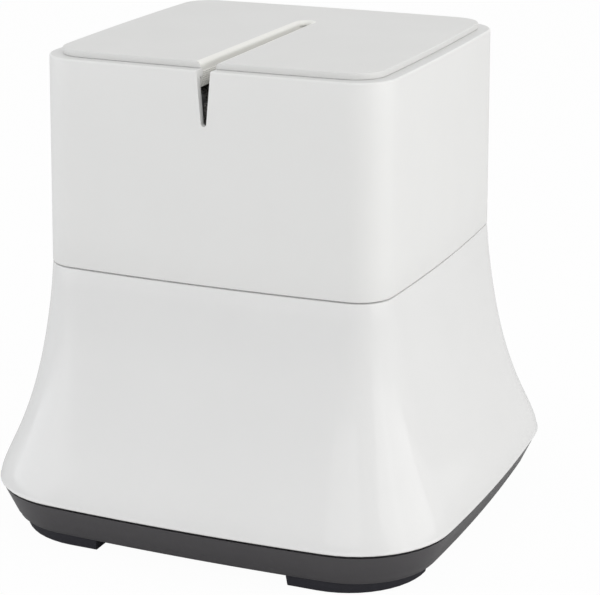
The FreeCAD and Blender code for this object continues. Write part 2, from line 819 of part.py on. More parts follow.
def wheel_bushes():
    """Four flanged bushes, their flanges on the disc side of each plate."""
    bushes = []
    for x in (left_x, right_x):
        body = rod(bush_radius, front_plate_thickness, x, front_plate_y, shaft_z)
        flange = rod(bush_flange_radius, bush_flange_thickness, x, front_plate_back, shaft_z)
        bore = rod(shaft_radius + running_fit, 3 * front_plate_thickness, x,
                   front_plate_y - front_plate_thickness, shaft_z)
        bushes.append(body.fuse(flange).removeSplitter().cut(bore))
        body = rod(bush_radius, rear_plate_thickness, x, rear_plate_y, shaft_z)
        flange = rod(bush_flange_radius, bush_flange_thickness, x,
                     rear_plate_y - bush_flange_thickness, shaft_z)
        bore = rod(shaft_radius + running_fit, 3 * rear_plate_thickness, x,
                   rear_plate_y - rear_plate_thickness, shaft_z)
        bushes.append(body.fuse(flange).removeSplitter().cut(bore))
    return group(bushes)


def wheel_shaft(x, end_y):
    start = front_plate_y - clip_thickness - shaft_overhang - end_float
    return rod(shaft_radius, end_y - start, x, start, shaft_z)


def disc_positions(first):
    return [stack_start + index * disc_pitch for index in range(first, 2 * discs_per_shaft, 2)]


def discs(x, first):
    bore = shaft_radius + fixed_fit
    return group([tube(disc_radius, bore, disc_thickness, x, y, shaft_z) for y in disc_positions(first)])


def spacers(x, first):
    """Sleeves that fill the shaft between the discs and the bush flanges."""
    bore = shaft_radius + fixed_fit
    starts = [y + disc_thickness for y in disc_positions(first)]
    ends = disc_positions(first)[1:] + [stack_end]
    spans = list(zip(starts, ends))
    if first > 0:
        spans.insert(0, (stack_start, disc_positions(first)[0]))
    sleeves = [span for span in spans if span[1] > span[0] + disc_side_gap]
    return group([tube(spacer_radius, bore, high - low, x, low, shaft_z) for low, high in sleeves])


def clips(x, ends):
    bore = shaft_radius + fixed_fit
    rings = [tube(clip_radius, bore, clip_thickness, x, low, shaft_z) for low in ends]
    return group(rings)


def gear(teeth, module, width, bore, x, y, z, first_tooth):
    """Spur gear with straight-flanked teeth; first_tooth is the angle of one tooth, from +X towards +Z."""
    pitch_radius = module * teeth / 2
    tip = pitch_radius + module * tooth_height_share
    root = pitch_radius - module * tooth_root_share
    flank = math.tan(math.radians(flank_angle))
    half_pitch = (math.pi * module - tooth_backlash) / 4
    tip_half = (half_pitch - (tip - pitch_radius) * flank) / tip
    root_half = (half_pitch + (pitch_radius - root) * flank) / root
    corners = []
    for index in range(teeth):
        middle = math.radians(first_tooth) + 2 * math.pi * index / teeth
        for radius, turn in ((root, -root_half), (tip, -tip_half), (tip, tip_half), (root, root_half)):
            angle = middle + turn
            corners.append(point(x + radius * math.cos(angle), y, z + radius * math.sin(angle)))
    blank = Part.Face(Part.makePolygon(corners + corners[:1])).extrude(along_y * width)
    return blank.cut(rod(bore, width + 2 * overrun, x, y - overrun, z))


def idler_pin():
    collar_length = train_start - end_float - rear_plate_back
    pin_length = train_end + end_float + clip_thickness + shaft_overhang - rear_plate_y
    pin = rod(idler_pin_radius, pin_length, idler_x, rear_plate_y, idler_z)
    return joined([pin, rod(idler_collar_radius, collar_length, idler_x, rear_plate_back, idler_z)])


def motor_can():
    """Deep drawn can, closed at its mounting end, with a bearing boss that locates it in the plate."""
    body = rod(motor_radius, motor_length, motor_x, rear_plate_y - motor_length, motor_z)
    hollow = rod(motor_radius - motor_wall, motor_length - motor_end_thickness, motor_x,
                 rear_plate_y - motor_length, motor_z)
    boss = rod(motor_boss_radius, motor_boss_height + motor_end_thickness, motor_x,
               rear_plate_y - motor_end_thickness, motor_z)
    can = joined([body.cut(hollow), boss])
    bore_length = motor_boss_height + motor_end_thickness + 2 * overrun
    can = can.cut(rod(motor_bush_radius + fixed_fit, bore_length, motor_x,
                      rear_plate_y - motor_end_thickness - overrun, motor_z))
    for x, z in motor_screw_places:
        can = can.cut(rod(screw_pilot, motor_end_thickness + 2 * overrun, x,
                          rear_plate_y - motor_end_thickness - overrun, z))
    return can


def motor_cap():
    start = rear_plate_y - motor_length
    cap = rod(motor_radius - motor_wall - fixed_fit, motor_cap_thickness, motor_x, start, motor_z)
    cap = cap.cut(rod(motor_bush_radius + fixed_fit, 3 * motor_cap_thickness, motor_x,
                      start - motor_cap_thickness, motor_z))
    half_thick = terminal_thickness / 2 + fixed_fit
    half_wide = motor_terminal_width / 2 + fixed_fit
    for side in (-1, 1):
        x = motor_x + side * motor_radius / 2
        cap = cap.cut(block(x - half_thick, x + half_thick,
                            start - overrun, start + motor_cap_thickness + overrun,
                            motor_z - half_wide, motor_z + half_wide))
    return cap


def motor_terminals():
    start = rear_plate_y - motor_length
    half_thick = terminal_thickness / 2
    half_wide = motor_terminal_width / 2
    blades = []
    for side in (-1, 1):
        x = motor_x + side * motor_radius / 2
        blades.append(block(x - half_thick, x + half_thick, start - motor_terminal_height,
                            start + motor_cap_thickness, motor_z - half_wide, motor_z + half_wide))
    return group(blades)


def motor_bushes():
    bore = motor_shaft_radius + running_fit
    rear_length = motor_boss_height + motor_end_thickness
    start = rear_plate_y - motor_length
    rear = tube(motor_bush_radius, bore, rear_length, motor_x, rear_plate_y - motor_end_thickness, motor_z)
    return group([tube(motor_bush_radius, bore, motor_cap_thickness, motor_x, start, motor_z), rear])


def motor_magnets():
    outer = motor_radius - motor_wall - fixed_fit
    start = rear_plate_y - motor_end_thickness - overrun - magnet_length
    magnets = []
    for middle in (0, 180):
        ring = Part.makeCylinder(outer, magnet_length, point(0, 0, 0), up, magnet_span)
        ring = ring.cut(rod(outer - magnet_thickness, magnet_length, 0, 0, 0, up))
        ring.rotate(point(0, 0, 0), up, middle - magnet_span / 2)
        ring.rotate(point(0, 0, 0), along_x, -90)
        ring.translate(point(motor_x, start, motor_z))
        magnets.append(ring)
    return group(magnets)


def rotor_core():
    radius = motor_radius - motor_wall - fixed_fit - magnet_thickness - rotor_air_gap
    start = rear_plate_y - motor_end_thickness - 2 * overrun - rotor_length
    core = tube(radius, motor_shaft_radius + fixed_fit, rotor_length, motor_x, start, motor_z)
    for index in range(rotor_slots):
        cutter = block(radius - rotor_slot_depth, radius + overrun,
                       start - overrun, start + rotor_length + overrun,
                       -rotor_slot_width / 2, rotor_slot_width / 2)
        cutter.rotate(point(0, 0, 0), along_y, 360 * index / rotor_slots)
        cutter.translate(point(motor_x, 0, motor_z))
        core = core.cut(cutter)
    return core


def commutator():
    start = rear_plate_y - motor_length + motor_cap_thickness + end_float
    bore = motor_shaft_radius + fixed_fit
    return tube(commutator_radius, bore, commutator_length, motor_x, start, motor_z)


def motor_shaft():
    start = rear_plate_y - motor_length
    return rod(motor_shaft_radius, train_end + shaft_overhang - start, motor_x, start, motor_z)


def switch_body():
    half_w = switch_body_width / 2
    half_h = switch_body_height / 2
    bezel = block(-bezel_width / 2, bezel_width / 2, seat_y, seat_y + bezel_thickness,
                  switch_height - bezel_height / 2, switch_height + bezel_height / 2)
    body = block(-half_w, half_w, seat_y - switch_body_depth, seat_y,
                 switch_height - half_h, switch_height + half_h)
    whole = joined([bezel, body])
    pocket_w = half_w - switch_wall
    pocket_h = half_h - switch_wall
    pocket = block(-pocket_w, pocket_w, pivot_y - pocket_below_pivot, seat_y + bezel_thickness + overrun,
                   switch_height - pocket_h, switch_height + pocket_h)
    whole = whole.cut(pocket)
    pin = rod(rocker_pin_radius + running_fit, 2 * half_w - switch_wall, -half_w + switch_wall / 2,
              pivot_y, switch_height, along_x)
    return whole.cut(pin)


def rocker():
    """Two-lobed rocker, turned so that its lower half is pressed in."""
    half = rocker_length / 2
    lift = half * math.tan(math.radians(rocker_tilt))
    half_w = switch_body_width / 2 - switch_wall - rocker_side_gap
    profile = [
        point(-half_w, rocker_face_height + lift, -half),
        point(-half_w, rocker_face_height, 0),
        point(-half_w, rocker_face_height + lift, half),
        point(-half_w, rocker_face_height - lift, half),
        point(-half_w, -rocker_foot_height, rocker_foot_width / 2),
        point(-half_w, -rocker_foot_height, -rocker_foot_width / 2),
        point(-half_w, rocker_face_height - lift, -half),
    ]
    body = Part.Face(Part.makePolygon(profile + profile[:1])).extrude(point(2 * half_w, 0, 0))
    pin_length = switch_body_width - switch_wall - 2 * running_fit
    body = joined([body, rod(rocker_pin_radius, pin_length, -pin_length / 2, 0, 0, along_x)])
    body.rotate(point(0, 0, 0), along_x, -rocker_tilt)
    body.translate(point(0, pivot_y, switch_height))
    return body


def switch_terminals():
    start = seat_y - switch_body_depth
    blades = []
    for side in (-1, 1):
        z = switch_height + side * switch_terminal_spacing / 2
        blades.append(block(-switch_terminal_width / 2, switch_terminal_width / 2,
                            start - switch_terminal_length, start,
                            z - terminal_thickness / 2, z + terminal_thickness / 2))
    return group(blades)


def cord_gland():
    """Rubber bush in the recess wall, with a flange on each side."""
    barrel = cord_radius + gland_wall
    flange = barrel + gland_flange
    inner_y = recess_plane - casing_wall
    body = rod(barrel, casing_wall, 0, inner_y, gland_height)
    outside = rod(flange, gland_flange_thickness, 0, recess_plane, gland_height)
    inside = rod(flange, gland_flange_thickness, 0, inner_y - gland_flange_thickness, gland_height)
    whole = joined([body, outside, inside])
    return whole.cut(rod(cord_radius, base_depth / 2, 0, 0, gland_height))


def cord_clamp():
    half = clamp_post_spacing / 2
    bar = block(-half - clamp_post_radius, half + clamp_post_radius, clamp_y - clamp_width / 2,
                clamp_y + clamp_width / 2, clamp_top, clamp_top + clamp_thickness)
    for side in (-1, 1):
        bar = bar.cut(rod(screw_hole, 2 * clamp_thickness, side * half, clamp_y, clamp_top, up))
    return bar


def power_board():
    board = block(board_x - board_width / 2, board_x + board_width / 2, board_y - board_depth / 2,
                  board_y + board_depth / 2, board_z, board_z + board_thickness)
    for sx, sy in corner_signs:
        board = board.cut(rod(screw_hole, 2 * board_thickness, board_x + sx * standoff_x,
                              board_y + sy * standoff_y, board_z, up))
    return board


# Places used by the small parts
pivot_y = seat_y - rocker_pivot_depth
pocket_below_pivot = rocker_foot_height + rocker_pin_radius
clamp_y = recess_plane - casing_wall - clamp_distance
clamp_top = gland_height + cord_radius - clamp_grip
board_z = floor_z + standoff_height
board_top = board_z + board_thickness
standoff_x = board_width / 2 - board_corner_inset
standoff_y = board_depth / 2 - board_corner_inset
flange_screw_places = []
for flange_middle in (front_plate_back + flange_length / 2, rear_plate_back + flange_length / 2):
    for side in (-1, 1):
        flange_screw_places.append((slot_offset + side * flange_screw_spacing / 2, flange_middle))
motor_screw_places = [(motor_x + side * motor_screw_spacing / 2, motor_z) for side in (-1, 1)]

save(upper_casing(), "upper_casing")
save(lower_casing(), "lower_casing")
save(base_tray(), "base_tray")
save(top_plate(), "top_plate")
foot_names = ["foot_front_left", "foot_front_right", "foot_rear_left", "foot_rear_right"]
for name, signs, peg in zip(foot_names, corner_signs, foot_peg_places()):
    save(foot(signs[0], signs[1], peg), name)

save(chassis_plate(), "chassis_plate")
front_plate = bearing_plate(front_plate_y, front_plate_thickness, front_plate_back + flange_length)
save(front_plate, "front_bearing_plate")
save(rear_bearing_plate(), "rear_bearing_plate")
save(wheel_bushes(), "wheel_bushes")

left_end = pair_end + end_float + clip_thickness + shaft_overhang
right_end = train_end + end_float + clip_thickness + shaft_overhang
front_clip = front_plate_y - end_float - clip_thickness
save(wheel_shaft(left_x, left_end), "left_shaft")
save(wheel_shaft(right_x, right_end), "right_shaft")
save(discs(left_x, 0), "left_discs")
save(discs(right_x, 1), "right_discs")
save(spacers(left_x, 0), "left_spacers")
save(spacers(right_x, 1), "right_spacers")
save(clips(left_x, [front_clip, pair_end + end_float]), "left_shaft_clips")
save(clips(right_x, [front_clip, train_end + end_float]), "right_shaft_clips")

shaft_bore = shaft_radius + fixed_fit
pair_half_step = 180 / pair_teeth
save(gear(pair_teeth, pair_module, pair_width, shaft_bore, left_x, pair_start, shaft_z, 0), "left_pair_gear")
save(gear(pair_teeth, pair_module, pair_width, shaft_bore, right_x, pair_start, shaft_z,
          180 + pair_half_step), "right_pair_gear")
save(tube(gear_washer_radius, shaft_bore, gear_plane_gap, right_x, pair_end, shaft_z), "right_gear_washer")
save(gear(driven_teeth, train_module, train_width, shaft_bore, right_x, train_start, shaft_z,
          train_angle + 180), "driven_gear")
save(gear(idler_teeth, train_module, train_width, idler_pin_radius + running_fit, idler_x, train_start,
          idler_z, train_angle + 180 / idler_teeth), "idler_gear")
save(gear(pinion_teeth, train_module, train_width, motor_shaft_radius + fixed_fit, motor_x, train_start,
          motor_z, train_angle), "motor_pinion")
save(idler_pin(), "idler_pin")
save(tube(idler_collar_radius, idler_pin_radius + fixed_fit, clip_thickness, idler_x,
          train_end + end_float, idler_z), "idler_clip")

save(motor_can(), "motor_can")
save(motor_cap(), "motor_end_cap")
save(motor_bushes(), "motor_bushes")
save(motor_terminals(), "motor_terminals")
save(motor_magnets(), "motor_magnets")
save(motor_shaft(), "motor_shaft")
save(rotor_core(), "rotor_core")
save(commutator(), "commutator")

save(switch_body(), "switch_body")
save(rocker(), "switch_rocker")
save(switch_terminals(), "switch_terminals")
save(cord_gland(), "cord_gland")
save(cord_clamp(), "cord_clamp")
save(power_board(), "power_board")
save(rod(capacitor_radius, capacitor_height, board_x, board_y + capacitor_y, board_top, up),
     "filter_capacitor")
save(block(board_x - bridge_size / 2, board_x + bridge_size / 2, board_y + bridge_y - bridge_size / 2,
           board_y + bridge_y + bridge_size / 2, board_top, board_top + bridge_height), "bridge_rectifier")
save(block(board_x - terminal_block_length / 2, board_x + terminal_block_length / 2,
           board_y - board_depth / 2 + overrun, board_y - board_depth / 2 + overrun + terminal_block_width,
           board_top, board_top + terminal_block_height), "terminal_block")

tray_seat = tray_bottom_z + tray_counterbore_depth
tab_bottom = seam_z - tab_drop
plate_screw_length = plate_pilot_depth - hole_clearance
motor_screw_length = rear_plate_thickness + motor_end_thickness
save(group([screw(x, y, tray_seat, tray_screw_length, up) for x, y in column_places]), "tray_screws")
save(group([screw(x, y, chassis_top, chassis_screw_length, down) for x, y in column_places]),
     "chassis_screws")
save(group([screw(x, y, tab_bottom, tab_screw_length, up) for x, y in tab_places]), "casing_screws")
save(group([screw(x, y, deck_z, plate_screw_length, up) for x, y in plate_screw_places]), "plate_screws")
flange_seat = chassis_top + flange_thickness
save(group([screw(x, y, flange_seat, flange_screw_length, down) for x, y in flange_screw_places]),
     "bearing_plate_screws")
save(group([screw(x, rear_plate_back, z, motor_screw_length, against_y) for x, z in motor_screw_places]),
     "motor_screws")
save(group([screw(board_x + sx * standoff_x, board_y + sy * standoff_y, board_top, board_screw_length, down)
            for sx, sy in corner_signs]), "board_screws")
clamp_screw_top = clamp_top + clamp_thickness
clamp_screw_reach = clamp_thickness + clamp_screw_length - overrun
save(group([screw(side * clamp_post_spacing / 2, clamp_y, clamp_screw_top, clamp_screw_reach, down)
            for side in (-1, 1)]), "clamp_screws")
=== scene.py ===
import bmesh
import bpy
import math
from mathutils import Vector, Matrix


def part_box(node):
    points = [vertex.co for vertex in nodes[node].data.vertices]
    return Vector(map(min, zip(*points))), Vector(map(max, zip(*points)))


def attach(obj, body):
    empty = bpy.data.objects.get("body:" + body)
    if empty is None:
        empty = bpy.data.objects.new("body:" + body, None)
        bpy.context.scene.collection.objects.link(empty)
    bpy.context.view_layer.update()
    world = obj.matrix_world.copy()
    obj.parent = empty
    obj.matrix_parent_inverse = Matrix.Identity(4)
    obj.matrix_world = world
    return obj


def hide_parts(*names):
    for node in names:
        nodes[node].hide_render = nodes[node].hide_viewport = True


# An electric knife sharpener: boxy upper casing, flared lower casing, dark tray and feet. Metres.
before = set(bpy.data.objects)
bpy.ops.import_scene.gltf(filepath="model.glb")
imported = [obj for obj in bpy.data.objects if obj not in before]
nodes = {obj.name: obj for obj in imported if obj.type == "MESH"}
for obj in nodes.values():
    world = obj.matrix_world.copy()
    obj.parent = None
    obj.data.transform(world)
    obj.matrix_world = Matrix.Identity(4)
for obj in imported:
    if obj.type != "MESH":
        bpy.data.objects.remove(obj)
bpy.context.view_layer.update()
scene = bpy.context.scene
millimetre = 0.001
overrun = millimetre  # how far a cutter passes what it cuts
print("stage: frame loaded,", len(nodes), "nodes")


# Shader maths: a socket that takes plain arithmetic, and one method that adds any node

class Wire:
    def __init__(self, shade, socket):
        self.shade = shade
        self.socket = socket

    def math(self, operation, first, second=None):
        values = {0: first} if second is None else {0: first, 1: second}
        return self.shade.node("ShaderNodeMath", {"operation": operation}, values)

    def __add__(self, other):
        return self.math("ADD", self, other)

    def __radd__(self, other):
        return self.math("ADD", other, self)

    def __sub__(self, other):
        return self.math("SUBTRACT", self, other)

    def __mul__(self, other):
        return self.math("MULTIPLY", self, other)


class Shade:
    def __init__(self, name):
        self.material = bpy.data.materials.new(name)
        self.material.use_nodes = True
        self.tree = self.material.node_tree
        self.surface = self.tree.nodes["Principled BSDF"]
        self.place = self.node("ShaderNodeTexCoord", {}, {}, "Object")

    def node(self, kind, settings, values, output=0):
        made = self.tree.nodes.new(kind)
        for key, value in settings.items():
            if key == "stops":
                self.fillRamp(made, value)
            else:
                setattr(made, key, value)
        for key, value in values.items():
            self.feed(made.inputs[key], value)
        return Wire(self, made.outputs[output])

    def fillRamp(self, ramp, stops):
        for index, (position, colour) in enumerate(stops):
            elements = ramp.color_ramp.elements
            stop = elements[index] if index < len(elements) else elements.new(position)
            stop.position = position
            stop.color = (*colour, 1) if len(colour) == 3 else colour

    def feed(self, socket, value):
        if isinstance(value, Wire):
            self.tree.links.new(value.socket, socket)
        elif isinstance(value, tuple) and len(value) == 3 and socket.type == "RGBA":
            socket.default_value = (*value, 1)
        else:
            socket.default_value = value

    def set(self, **values):
        for key, value in values.items():
            self.feed(self.surface.inputs[key.replace("_", " ")], value)

    def noise(self, scale, detail=2.0, roughness=0.5, place=None):
        values = {"Vector": place or self.place, "Scale": scale, "Detail": detail, "Roughness": roughness}
        return self.node("ShaderNodeTexNoise", {}, values, "Fac")

    def stretched(self, factors):
        return self.node("ShaderNodeMapping", {}, {"Vector": self.place, "Scale": factors})

    def mix(self, factor, first, second):
        settings = {"data_type": "RGBA"}
        return self.node("ShaderNodeMix", settings, {0: factor, 6: first, 7: second}, 2)

    def bump(self, height, distance):
        values = {"Height": height, "Distance": distance, "Strength": 1.0}
        self.set(Normal=self.node("ShaderNodeBump", {}, values))


plasticLook = {
    "upper": {"colour": (0.835, 0.835, 0.826), "rough": 0.30, "grainScale": 2600, "grainDepth": 0.000012},
    "plate": {"colour": (0.755, 0.755, 0.745), "rough": 0.46, "grainScale": 1500, "grainDepth": 0.000045},
    # the liner colour is partly the liner's own cream and partly painted light, kept pale so the shaded slot walls
    # read lit
    "liner": {"colour": (0.905, 0.900, 0.868), "rough": 0.40, "grainScale": 2600, "grainDepth": 0.00001},
    # this darker grey for the deck ledge is painted shade, where the raised plate shades the ledge
    "deck": {"colour": (0.740, 0.742, 0.735), "rough": 0.40, "grainScale": 1500, "grainDepth": 0.00003},
    "lower": {"colour": (0.812, 0.812, 0.808), "rough": 0.13, "grainScale": 700, "grainDepth": 0.000002},
    "tray": {"colour": (0.056, 0.053, 0.057), "rough": 0.37, "grainScale": 2400, "grainDepth": 0.000018},
    "foot": {"colour": (0.012, 0.0115, 0.018), "rough": 0.62, "grainScale": 1900, "grainDepth": 0.00003},
    "guide": {"colour": (0.12, 0.12, 0.125), "rough": 0.42, "grainScale": 2200, "grainDepth": 0.00002},
    "black": {"colour": (0.012, 0.012, 0.013), "rough": 0.30, "grainScale": 2000, "grainDepth": 0.00001},
    "nylon": {"colour": (0.72, 0.69, 0.58), "rough": 0.38, "grainScale": 1500, "grainDepth": 0.00001},
    "sleeve": {"colour": (0.015, 0.028, 0.11), "rough": 0.25, "grainScale": 900, "grainDepth": 0.00001},
}
mouldedLook = {"cloudScale": 38, "shadeDown": 0.965, "cloudRough": 0.09, "grainRough": 0.05, "ior": 1.49}


def plasticMaterial(name):
    # moulded plastic: fine spark grain, cloudy gloss, and a trace of handling haze
    look = plasticLook[name]
    shade = Shade(name + "Plastic")
    cloud = shade.noise(mouldedLook["cloudScale"], 4, 0.55)
    grain = shade.noise(look["grainScale"], 3, 0.6)
    darker = tuple(part * mouldedLook["shadeDown"] for part in look["colour"])
    shade.set(Base_Color=shade.mix(cloud, look["colour"], darker))
    unevenness = (cloud - 0.5) * mouldedLook["cloudRough"]
    shade.set(Roughness=look["rough"] + unevenness + (grain - 0.5) * mouldedLook["grainRough"])
    shade.surface.inputs["IOR"].default_value = mouldedLook["ior"]
    shade.bump(grain, look["grainDepth"])
    return shade.material


metalLook = {
    "zinc": {"colour": (0.56, 0.57, 0.58), "rough": 0.34, "metal": 1.0, "stretch": (60, 60, 900)},
    "steel": {"colour": (0.52, 0.52, 0.53), "rough": 0.24, "metal": 1.0, "stretch": (1400, 90, 1400)},
    "bronze": {"colour": (0.50, 0.31, 0.12), "rough": 0.42, "metal": 1.0, "stretch": (700, 700, 700)},
    "aluminium": {"colour": (0.72, 0.72, 0.73), "rough": 0.30, "metal": 1.0, "stretch": (120, 1500, 120)},
    "lamination": {"colour": (0.20, 0.20, 0.21), "rough": 0.48, "metal": 1.0, "stretch": (60, 2200, 60)},
    "ferrite": {"colour": (0.05, 0.05, 0.052), "rough": 0.60, "metal": 0.35, "stretch": (900, 900, 900)},
}
workedLook = {
    "shadeDown": 0.72,
    "streakRough": 0.16,
    "patchRough": 0.12,
    "patchScale": 120,
    "depth": 0.00001,
}


def metalMaterial(name):
    # drawn or turned metal: streaks along the work, rougher in patches
    look = metalLook[name]
    shade = Shade(name + "Metal")
    streak = shade.noise(1.0, 3, 0.6, shade.stretched(look["stretch"]))
    patch = shade.noise(workedLook["patchScale"], 3, 0.5)
    darker = tuple(part * workedLook["shadeDown"] for part in look["colour"])
    shade.set(Base_Color=shade.mix(streak, look["colour"], darker))
    unevenness = (streak - 0.5) * workedLook["streakRough"]
    shade.set(Roughness=look["rough"] + unevenness + (patch - 0.5) * workedLook["patchRough"])
    shade.surface.inputs["Metallic"].default_value = look["metal"]
    shade.bump(streak, workedLook["depth"])
    return shade.material


abrasiveLook = {
    "stops": [(0.30, (0.07, 0.068, 0.066)), (0.52, (0.17, 0.165, 0.16)), (0.72, (0.42, 0.41, 0.40))],
    "cellScale": 2600,
    "speckScale": 1900,
    "rough": 0.62,
    "cellRough": 0.3,
    "speckHeight": 0.6,
    "depth": 0.00012,
}


def abrasiveMaterial():
    # bonded grit: pale and dark grains in a grey binder
    look = abrasiveLook
    shade = Shade("abrasiveGrit")
    cellValues = {"Vector": shade.place, "Scale": look["cellScale"]}
    cell = shade.node("ShaderNodeTexVoronoi", {"feature": "F1"}, cellValues, "Distance")
    speck = shade.noise(look["speckScale"], 2, 0.7)
    tint = shade.node("ShaderNodeValToRGB", {"stops": look["stops"]}, {"Fac": speck}, "Color")
    shade.set(Base_Color=tint)
    shade.set(Roughness=look["rough"] + cell * look["cellRough"])
    shade.bump(cell + speck * look["speckHeight"], look["depth"])
    return shade.material


boardLook = {
    "light": (0.30, 0.19, 0.07),
    "dark": (0.22, 0.13, 0.05),
    "weaveScale": 420,
    "cloudScale": 90,
    "weaveShare": 0.4,
    "cloudShare": 0.5,
    "rough": 0.36,
    "cloudRough": 0.12,
    "depth": 0.00001,
}


def boardMaterial():
    # brown paper laminate with a faint weave
    look = boardLook
    shade = Shade("boardLaminate")
    weaveValues = {"Vector": shade.place, "Scale": look["weaveScale"]}
    weave = shade.node("ShaderNodeTexWave", {"wave_type": "BANDS"}, weaveValues, "Fac")
    cloud = shade.noise(look["cloudScale"], 3, 0.5)
    share = weave * look["weaveShare"] + cloud * look["cloudShare"]
    shade.set(Base_Color=shade.mix(share, look["light"], look["dark"]))
    shade.set(Roughness=look["rough"] + cloud * look["cloudRough"])
    shade.bump(weave, look["depth"])
    return shade.material


materials = {name: plasticMaterial(name) for name in plasticLook}
materials.update({name: metalMaterial(name) for name in metalLook})
materials["abrasive"] = abrasiveMaterial()
materials["board"] = boardMaterial()
print("stage: materials made,", len(materials))


# Outlines of the body in plan: four bowed sides and four round corners

sideSteps = 9
cornerSteps = 12
roundSteps = 48
arcSteps = 8


def cornerCircle(plan):
    halfX = plan["width"] / 2
    halfY = plan["depth"] / 2
    reachX = (halfY ** 2 + plan["bow"] ** 2) / (2 * plan["bow"])
    reachY = (halfX ** 2 + plan["bow"] ** 2) / (2 * plan["bow"])
    fromX = Vector((halfX - reachX, 0))
    fromY = Vector((0, halfY - reachY))
    between = fromY - fromX
    nearX = reachX - plan["corner"]
    nearY = reachY - plan["corner"]
    along = (nearX ** 2 - nearY ** 2 + between.length ** 2) / (2 * between.length)
    across = math.sqrt(nearX ** 2 - along ** 2)
    direction = between.normalized()
    centre = fromX + direction * along + Vector((-direction.y, direction.x)) * across
    return centre, fromX, fromY, reachX, reachY


def quarterOutline(plan):
    centre, fromX, fromY, reachX, reachY = cornerCircle(plan)
    startTurn = math.atan2(centre.y - fromX.y, centre.x - fromX.x)
    endTurn = math.atan2(centre.y - fromY.y, centre.x - fromY.x)
    points = []
    for step in range(sideSteps):
        turn = startTurn * step / sideSteps
        points.append(fromX + Vector((math.cos(turn), math.sin(turn))) * reachX)
    for step in range(cornerSteps):
        turn = startTurn + (endTurn - startTurn) * step / cornerSteps
        points.append(centre + Vector((math.cos(turn), math.sin(turn))) * plan["corner"])
    for step in range(sideSteps):
        turn = endTurn + (math.pi / 2 - endTurn) * step / sideSteps
        points.append(fromY + Vector((math.cos(turn), math.sin(turn))) * reachY)
    points.append(Vector((0, plan["depth"] / 2)))
    return points


def ring(plan, height, inset=0.0):
    smaller = {
        "width": plan["width"] - 2 * inset,
        "depth": plan["depth"] - 2 * inset,
        "corner": max(plan["corner"] - inset, millimetre),
        "bow": plan["bow"],
    }
    quarter = quarterOutline(smaller)
    left = [Vector((-p.x, p.y)) for p in reversed(quarter[:-1])]
    half = quarter + left
    lower = [Vector((p.x, -p.y)) for p in reversed(half[1:-1])]
    return [Vector((p.x, p.y, height)) for p in half + lower]


def between(first, second, share):
    return {key: first[key] + (second[key] - first[key]) * share for key in first}


def meshFromRings(name, rings, closed=False):
    shape = bmesh.new()
    rows = [[shape.verts.new(p) for p in points] for points in rings]
    pairs = list(zip(rows, rows[1:])) + ([(rows[-1], rows[0])] if closed else [])
    for low, high in pairs:
        for index in range(len(low)):
            following = (index + 1) % len(low)
            shape.faces.new((low[index], low[following], high[following], high[index]))
    if not closed:
        shape.faces.new(rows[0][::-1])
        shape.faces.new(rows[-1])
    bmesh.ops.recalc_face_normals(shape, faces=shape.faces)
    mesh = bpy.data.meshes.new(name)
    shape.to_mesh(mesh)
    shape.free()
    return mesh


def addObject(name, mesh):
    made = bpy.data.objects.new(name, mesh)
    scene.collection.objects.link(made)
    return made


def softAt(radius, steps, plan, height, upwards=True):
    # rings that round an outer edge over, from the side to the flat
    rings = []
    for step in range(steps + 1):
        turn = math.pi / 2 * step / steps
        drop = radius * (1 - math.sin(turn))
        drawn = radius * (1 - math.cos(turn))
        rings.append(ring(plan, height - drop if upwards else height + drop, drawn))
    return rings


def boxMesh(name, low, high):
    shape = bmesh.new()
    middle = [(a + b) / 2 for a, b in zip(low, high)]
    size = [b - a for a, b in zip(low, high)]
    place = Matrix.Translation(middle) @ Matrix.Diagonal((*size, 1))
    bmesh.ops.create_cube(shape, size=1, matrix=place)
    mesh = bpy.data.meshes.new(name)
    shape.to_mesh(mesh)
    shape.free()
    return mesh


def discMesh(name, radius, low, high, x, y):
    turns = [2 * math.pi * step / roundSteps for step in range(roundSteps)]
    pairs = [(x + radius * math.cos(turn), y + radius * math.sin(turn)) for turn in turns]
    return prismMesh(name, pairs, low, high, "Z")


def prismMesh(name, corners, start, end, axis):
    # corners are pairs; the prism runs along Y for a front outline and along Z for a plan
    def place(pair, reach):
        return Vector((pair[0], reach, pair[1])) if axis == "Y" else Vector((pair[0], pair[1], reach))
    return meshFromRings(name, [[place(pair, reach) for pair in corners] for reach in (start, end)])


def finished(name, mesh, cutters, material, edge, edgeAngle=34, edgeSteps=3):
    # cuts, then a small round on every crisp edge, then one plain mesh
    made = addObject(name + "Raw", mesh)
    helpers = []
    for index, cutter in enumerate(cutters):
        helper = addObject(name + "Cut" + str(index), cutter)
        helpers.append(helper)
        cut = made.modifiers.new("cut" + str(index), "BOOLEAN")
        cut.operation = "DIFFERENCE"
        cut.solver = "EXACT"
        cut.object = helper
    if edge > 0:
        soften = made.modifiers.new("edges", "BEVEL")
        soften.width = edge
        soften.segments = edgeSteps
        soften.limit_method = "ANGLE"
        soften.angle_limit = math.radians(edgeAngle)
        soften.harden_normals = True
        soften.use_clamp_overlap = True
    for face in made.data.polygons:
        face.use_smooth = True
    bpy.context.view_layer.update()
    depsgraph = bpy.context.evaluated_depsgraph_get()
    result = bpy.data.meshes.new_from_object(made.evaluated_get(depsgraph))
    for helper in helpers:
        bpy.data.objects.remove(helper)
    bpy.data.objects.remove(made)
    result.name = name
    result.materials.clear()
    result.materials.append(material)
    for face in result.polygons:
        face.material_index = 0
    return addObject(name, result)


def joinMeshes(name, meshes):
    shape = bmesh.new()
    for mesh in meshes:
        shape.from_mesh(mesh)
    mesh = bpy.data.meshes.new(name)
    shape.to_mesh(mesh)
    shape.free()
    return mesh


def dress(piece, body, slot, *replaced):
    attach(piece, body)
    if replaced:
        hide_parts(*replaced)
    return piece


# Body sizes, as the frame has them

